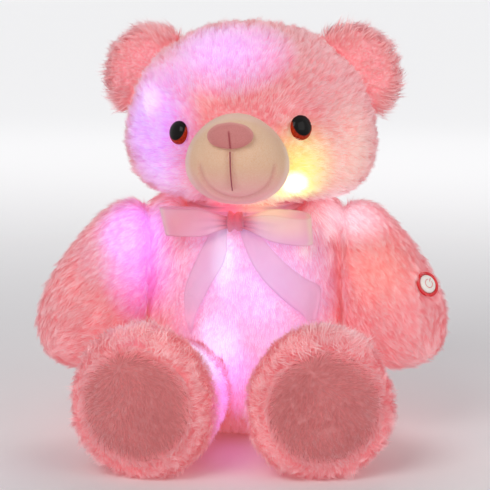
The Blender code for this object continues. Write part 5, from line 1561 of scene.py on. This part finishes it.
class FittingsOperator(bpy.types.Operator):
    """Finishes the zip, the wiring, the lamps and the battery set"""

    bl_idname = "bear.fittings"
    bl_label = "Zip, wiring and batteries"

    def execute(self, context):
        for finish, (build, nodes) in FITTINGS.items():
            for node in nodes:
                refinish(node, f"{finish}_finish", build)
        bm = bmesh.new()
        bm.from_mesh(frame["nodes"]["battery_pocket"].data)
        bmesh.ops.remove_doubles(bm, verts=bm.verts, dist=1e-5)
        for _ in range(2):
            long = [edge for edge in bm.edges if edge.calc_length() > 0.006]
            bmesh.ops.subdivide_edges(bm, edges=long, cuts=1)
        bmesh.ops.triangulate(bm, faces=bm.faces)
        relax(bm, 2, 0.25)
        pocket = finished("battery_pocket_cloth", bm, material("pocket_cotton", woven(shown(0.90, 0.72, 0.74))))
        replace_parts(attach(pocket, "torso"), "battery_pocket")
        return {"FINISHED"}


class TidyOperator(bpy.types.Operator):
    """Takes away the loose tufts that the pile was sown from"""

    bl_idname = "bear.tidy"
    bl_label = "Clear the loose tufts"

    def execute(self, context):
        for found in filter(None, map(bpy.data.collections.get, LOOSE_TUFTS)):
            for piece in list(found.objects):
                bpy.data.objects.remove(piece)
            bpy.data.collections.remove(found)
        return {"FINISHED"}


# Each lamp of the studio: where it hangs, its size in metres and its power in watts
STUDIO = (
    ("key_light", (-0.9, -1.5, 1.5), 1.2, 17.0),
    ("fill_light", (1.4, -1.2, 0.8), 1.4, 8.0),
    ("back_light", (0.2, 1.4, 1.5), 1.2, 10.0),
)


class StageOperator(bpy.types.Operator):
    """Lays the floor, hangs the lamps of the studio and sets up the camera"""

    bl_idname = "bear.stage"
    bl_label = "Stage"

    def execute(self, context):
        scene = context.scene
        chosen = scene.bear_stage
        bm = bmesh.new()
        bmesh.ops.create_grid(bm, x_segments=1, y_segments=1, size=80)
        bmesh.ops.translate(bm, vec=(0, 0, -0.0002), verts=bm.verts)
        floor = finished("stage_floor", bm, material("floor_paint", self.floor_surface), smooth=False)

        world = scene.world or bpy.data.worlds.new("studio")
        scene.world = world
        world.use_nodes = True
        tree = world.node_tree
        backdrop = tree.nodes["Background"]
        seen = looked_at(tree)
        feed(tree, blended(tree, seen, (0.80, 0.82, 0.86, 1), WHITE), backdrop.inputs["Color"])
        feed(tree, ranged(tree, seen, 0.0, 1.0, 0.42, 0.94, "LINEAR"), backdrop.inputs["Strength"])

        target = Vector(chosen.middle)
        for name, place, size, power in STUDIO:
            lamp = bpy.data.lights.new(name, "AREA")
            lamp.size = size
            lamp.energy = power
            self.aimed(bpy.data.objects.new(name, lamp), Vector(place), target)

        camera = bpy.data.objects.new("photo_camera", bpy.data.cameras.new("photo_camera"))
        camera.data.lens = chosen.lens
        camera.data.sensor_width = 36
        rise = chosen.elevation
        away = Vector((0, -math.cos(rise), math.sin(rise))) * chosen.distance
        self.aimed(camera, target + away, target)
        scene.camera = camera
        scene.view_settings.view_transform = "Standard"
        return {"FINISHED"}

    def aimed(self, holder, place, target):
        holder.location = place
        holder.rotation_euler = (target - place).to_track_quat("-Z", "Y").to_euler()
        bpy.context.scene.collection.objects.link(holder)

    def floor_surface(self, tree, surface, place):
        tone = mottled(tree, speckle(tree, place, 3.0), opaque(bpy.context.scene.bear_stage.floor), WHITE, 0.03)
        coloured(tree, surface, tone)
        far = ranged(tree, vectors(tree, "LENGTH", place), 0.4, 2.5, 0.0, 0.55)
        paler = maths(tree, "MULTIPLY", far, looked_at(tree))
        coloured(tree, surface, blended(tree, paler, BLACK, WHITE), "Emission Color")
        dial(surface, {"Roughness": 0.8, "Specular IOR Level": 0.1, "Emission Strength": 1.0})


MAKERS = (
    TorsoOperator, HeadOperator, EarsOperator, ArmsOperator, LegsOperator, SolesOperator, MuzzleOperator,
    NoseOperator, EyesOperator, BowOperator, ButtonOperator, FittingsOperator, TidyOperator, StageOperator,
)
SETTINGS = (
    ("bear_colours", BearColours), ("bear_pile", BearPile), ("bear_glow", BearGlow), ("bear_stage", BearStage),
)


class BearPanel(bpy.types.Panel):
    """The bear's sizes and colours, and a button for each of its pieces"""

    bl_idname = "VIEW3D_PT_plush_bear"
    bl_label = "Plush Bear"
    bl_space_type = "VIEW_3D"
    bl_region_type = "UI"
    bl_category = "Plush Bear"

    def draw(self, context):
        for name, group_type in SETTINGS:
            box = self.layout.box()
            for key in group_type.__annotations__:
                box.prop(getattr(context.scene, name), key)
        for maker in MAKERS:
            self.layout.operator(maker.bl_idname)


def register():
    for name, group_type in SETTINGS:
        bpy.utils.register_class(group_type)
        setattr(bpy.types.Scene, name, bpy.props.PointerProperty(type=group_type))
    for made in (*MAKERS, BearPanel):
        bpy.utils.register_class(made)


def unregister():
    for made in (BearPanel, *reversed(MAKERS)):
        bpy.utils.unregister_class(made)
    for name, group_type in reversed(SETTINGS):
        delattr(bpy.types.Scene, name)
        bpy.utils.unregister_class(group_type)


def main():
    register()
    for maker in MAKERS:
        getattr(bpy.ops.bear, maker.bl_idname.split(".")[1])()


if __name__ == "__main__":
    main()
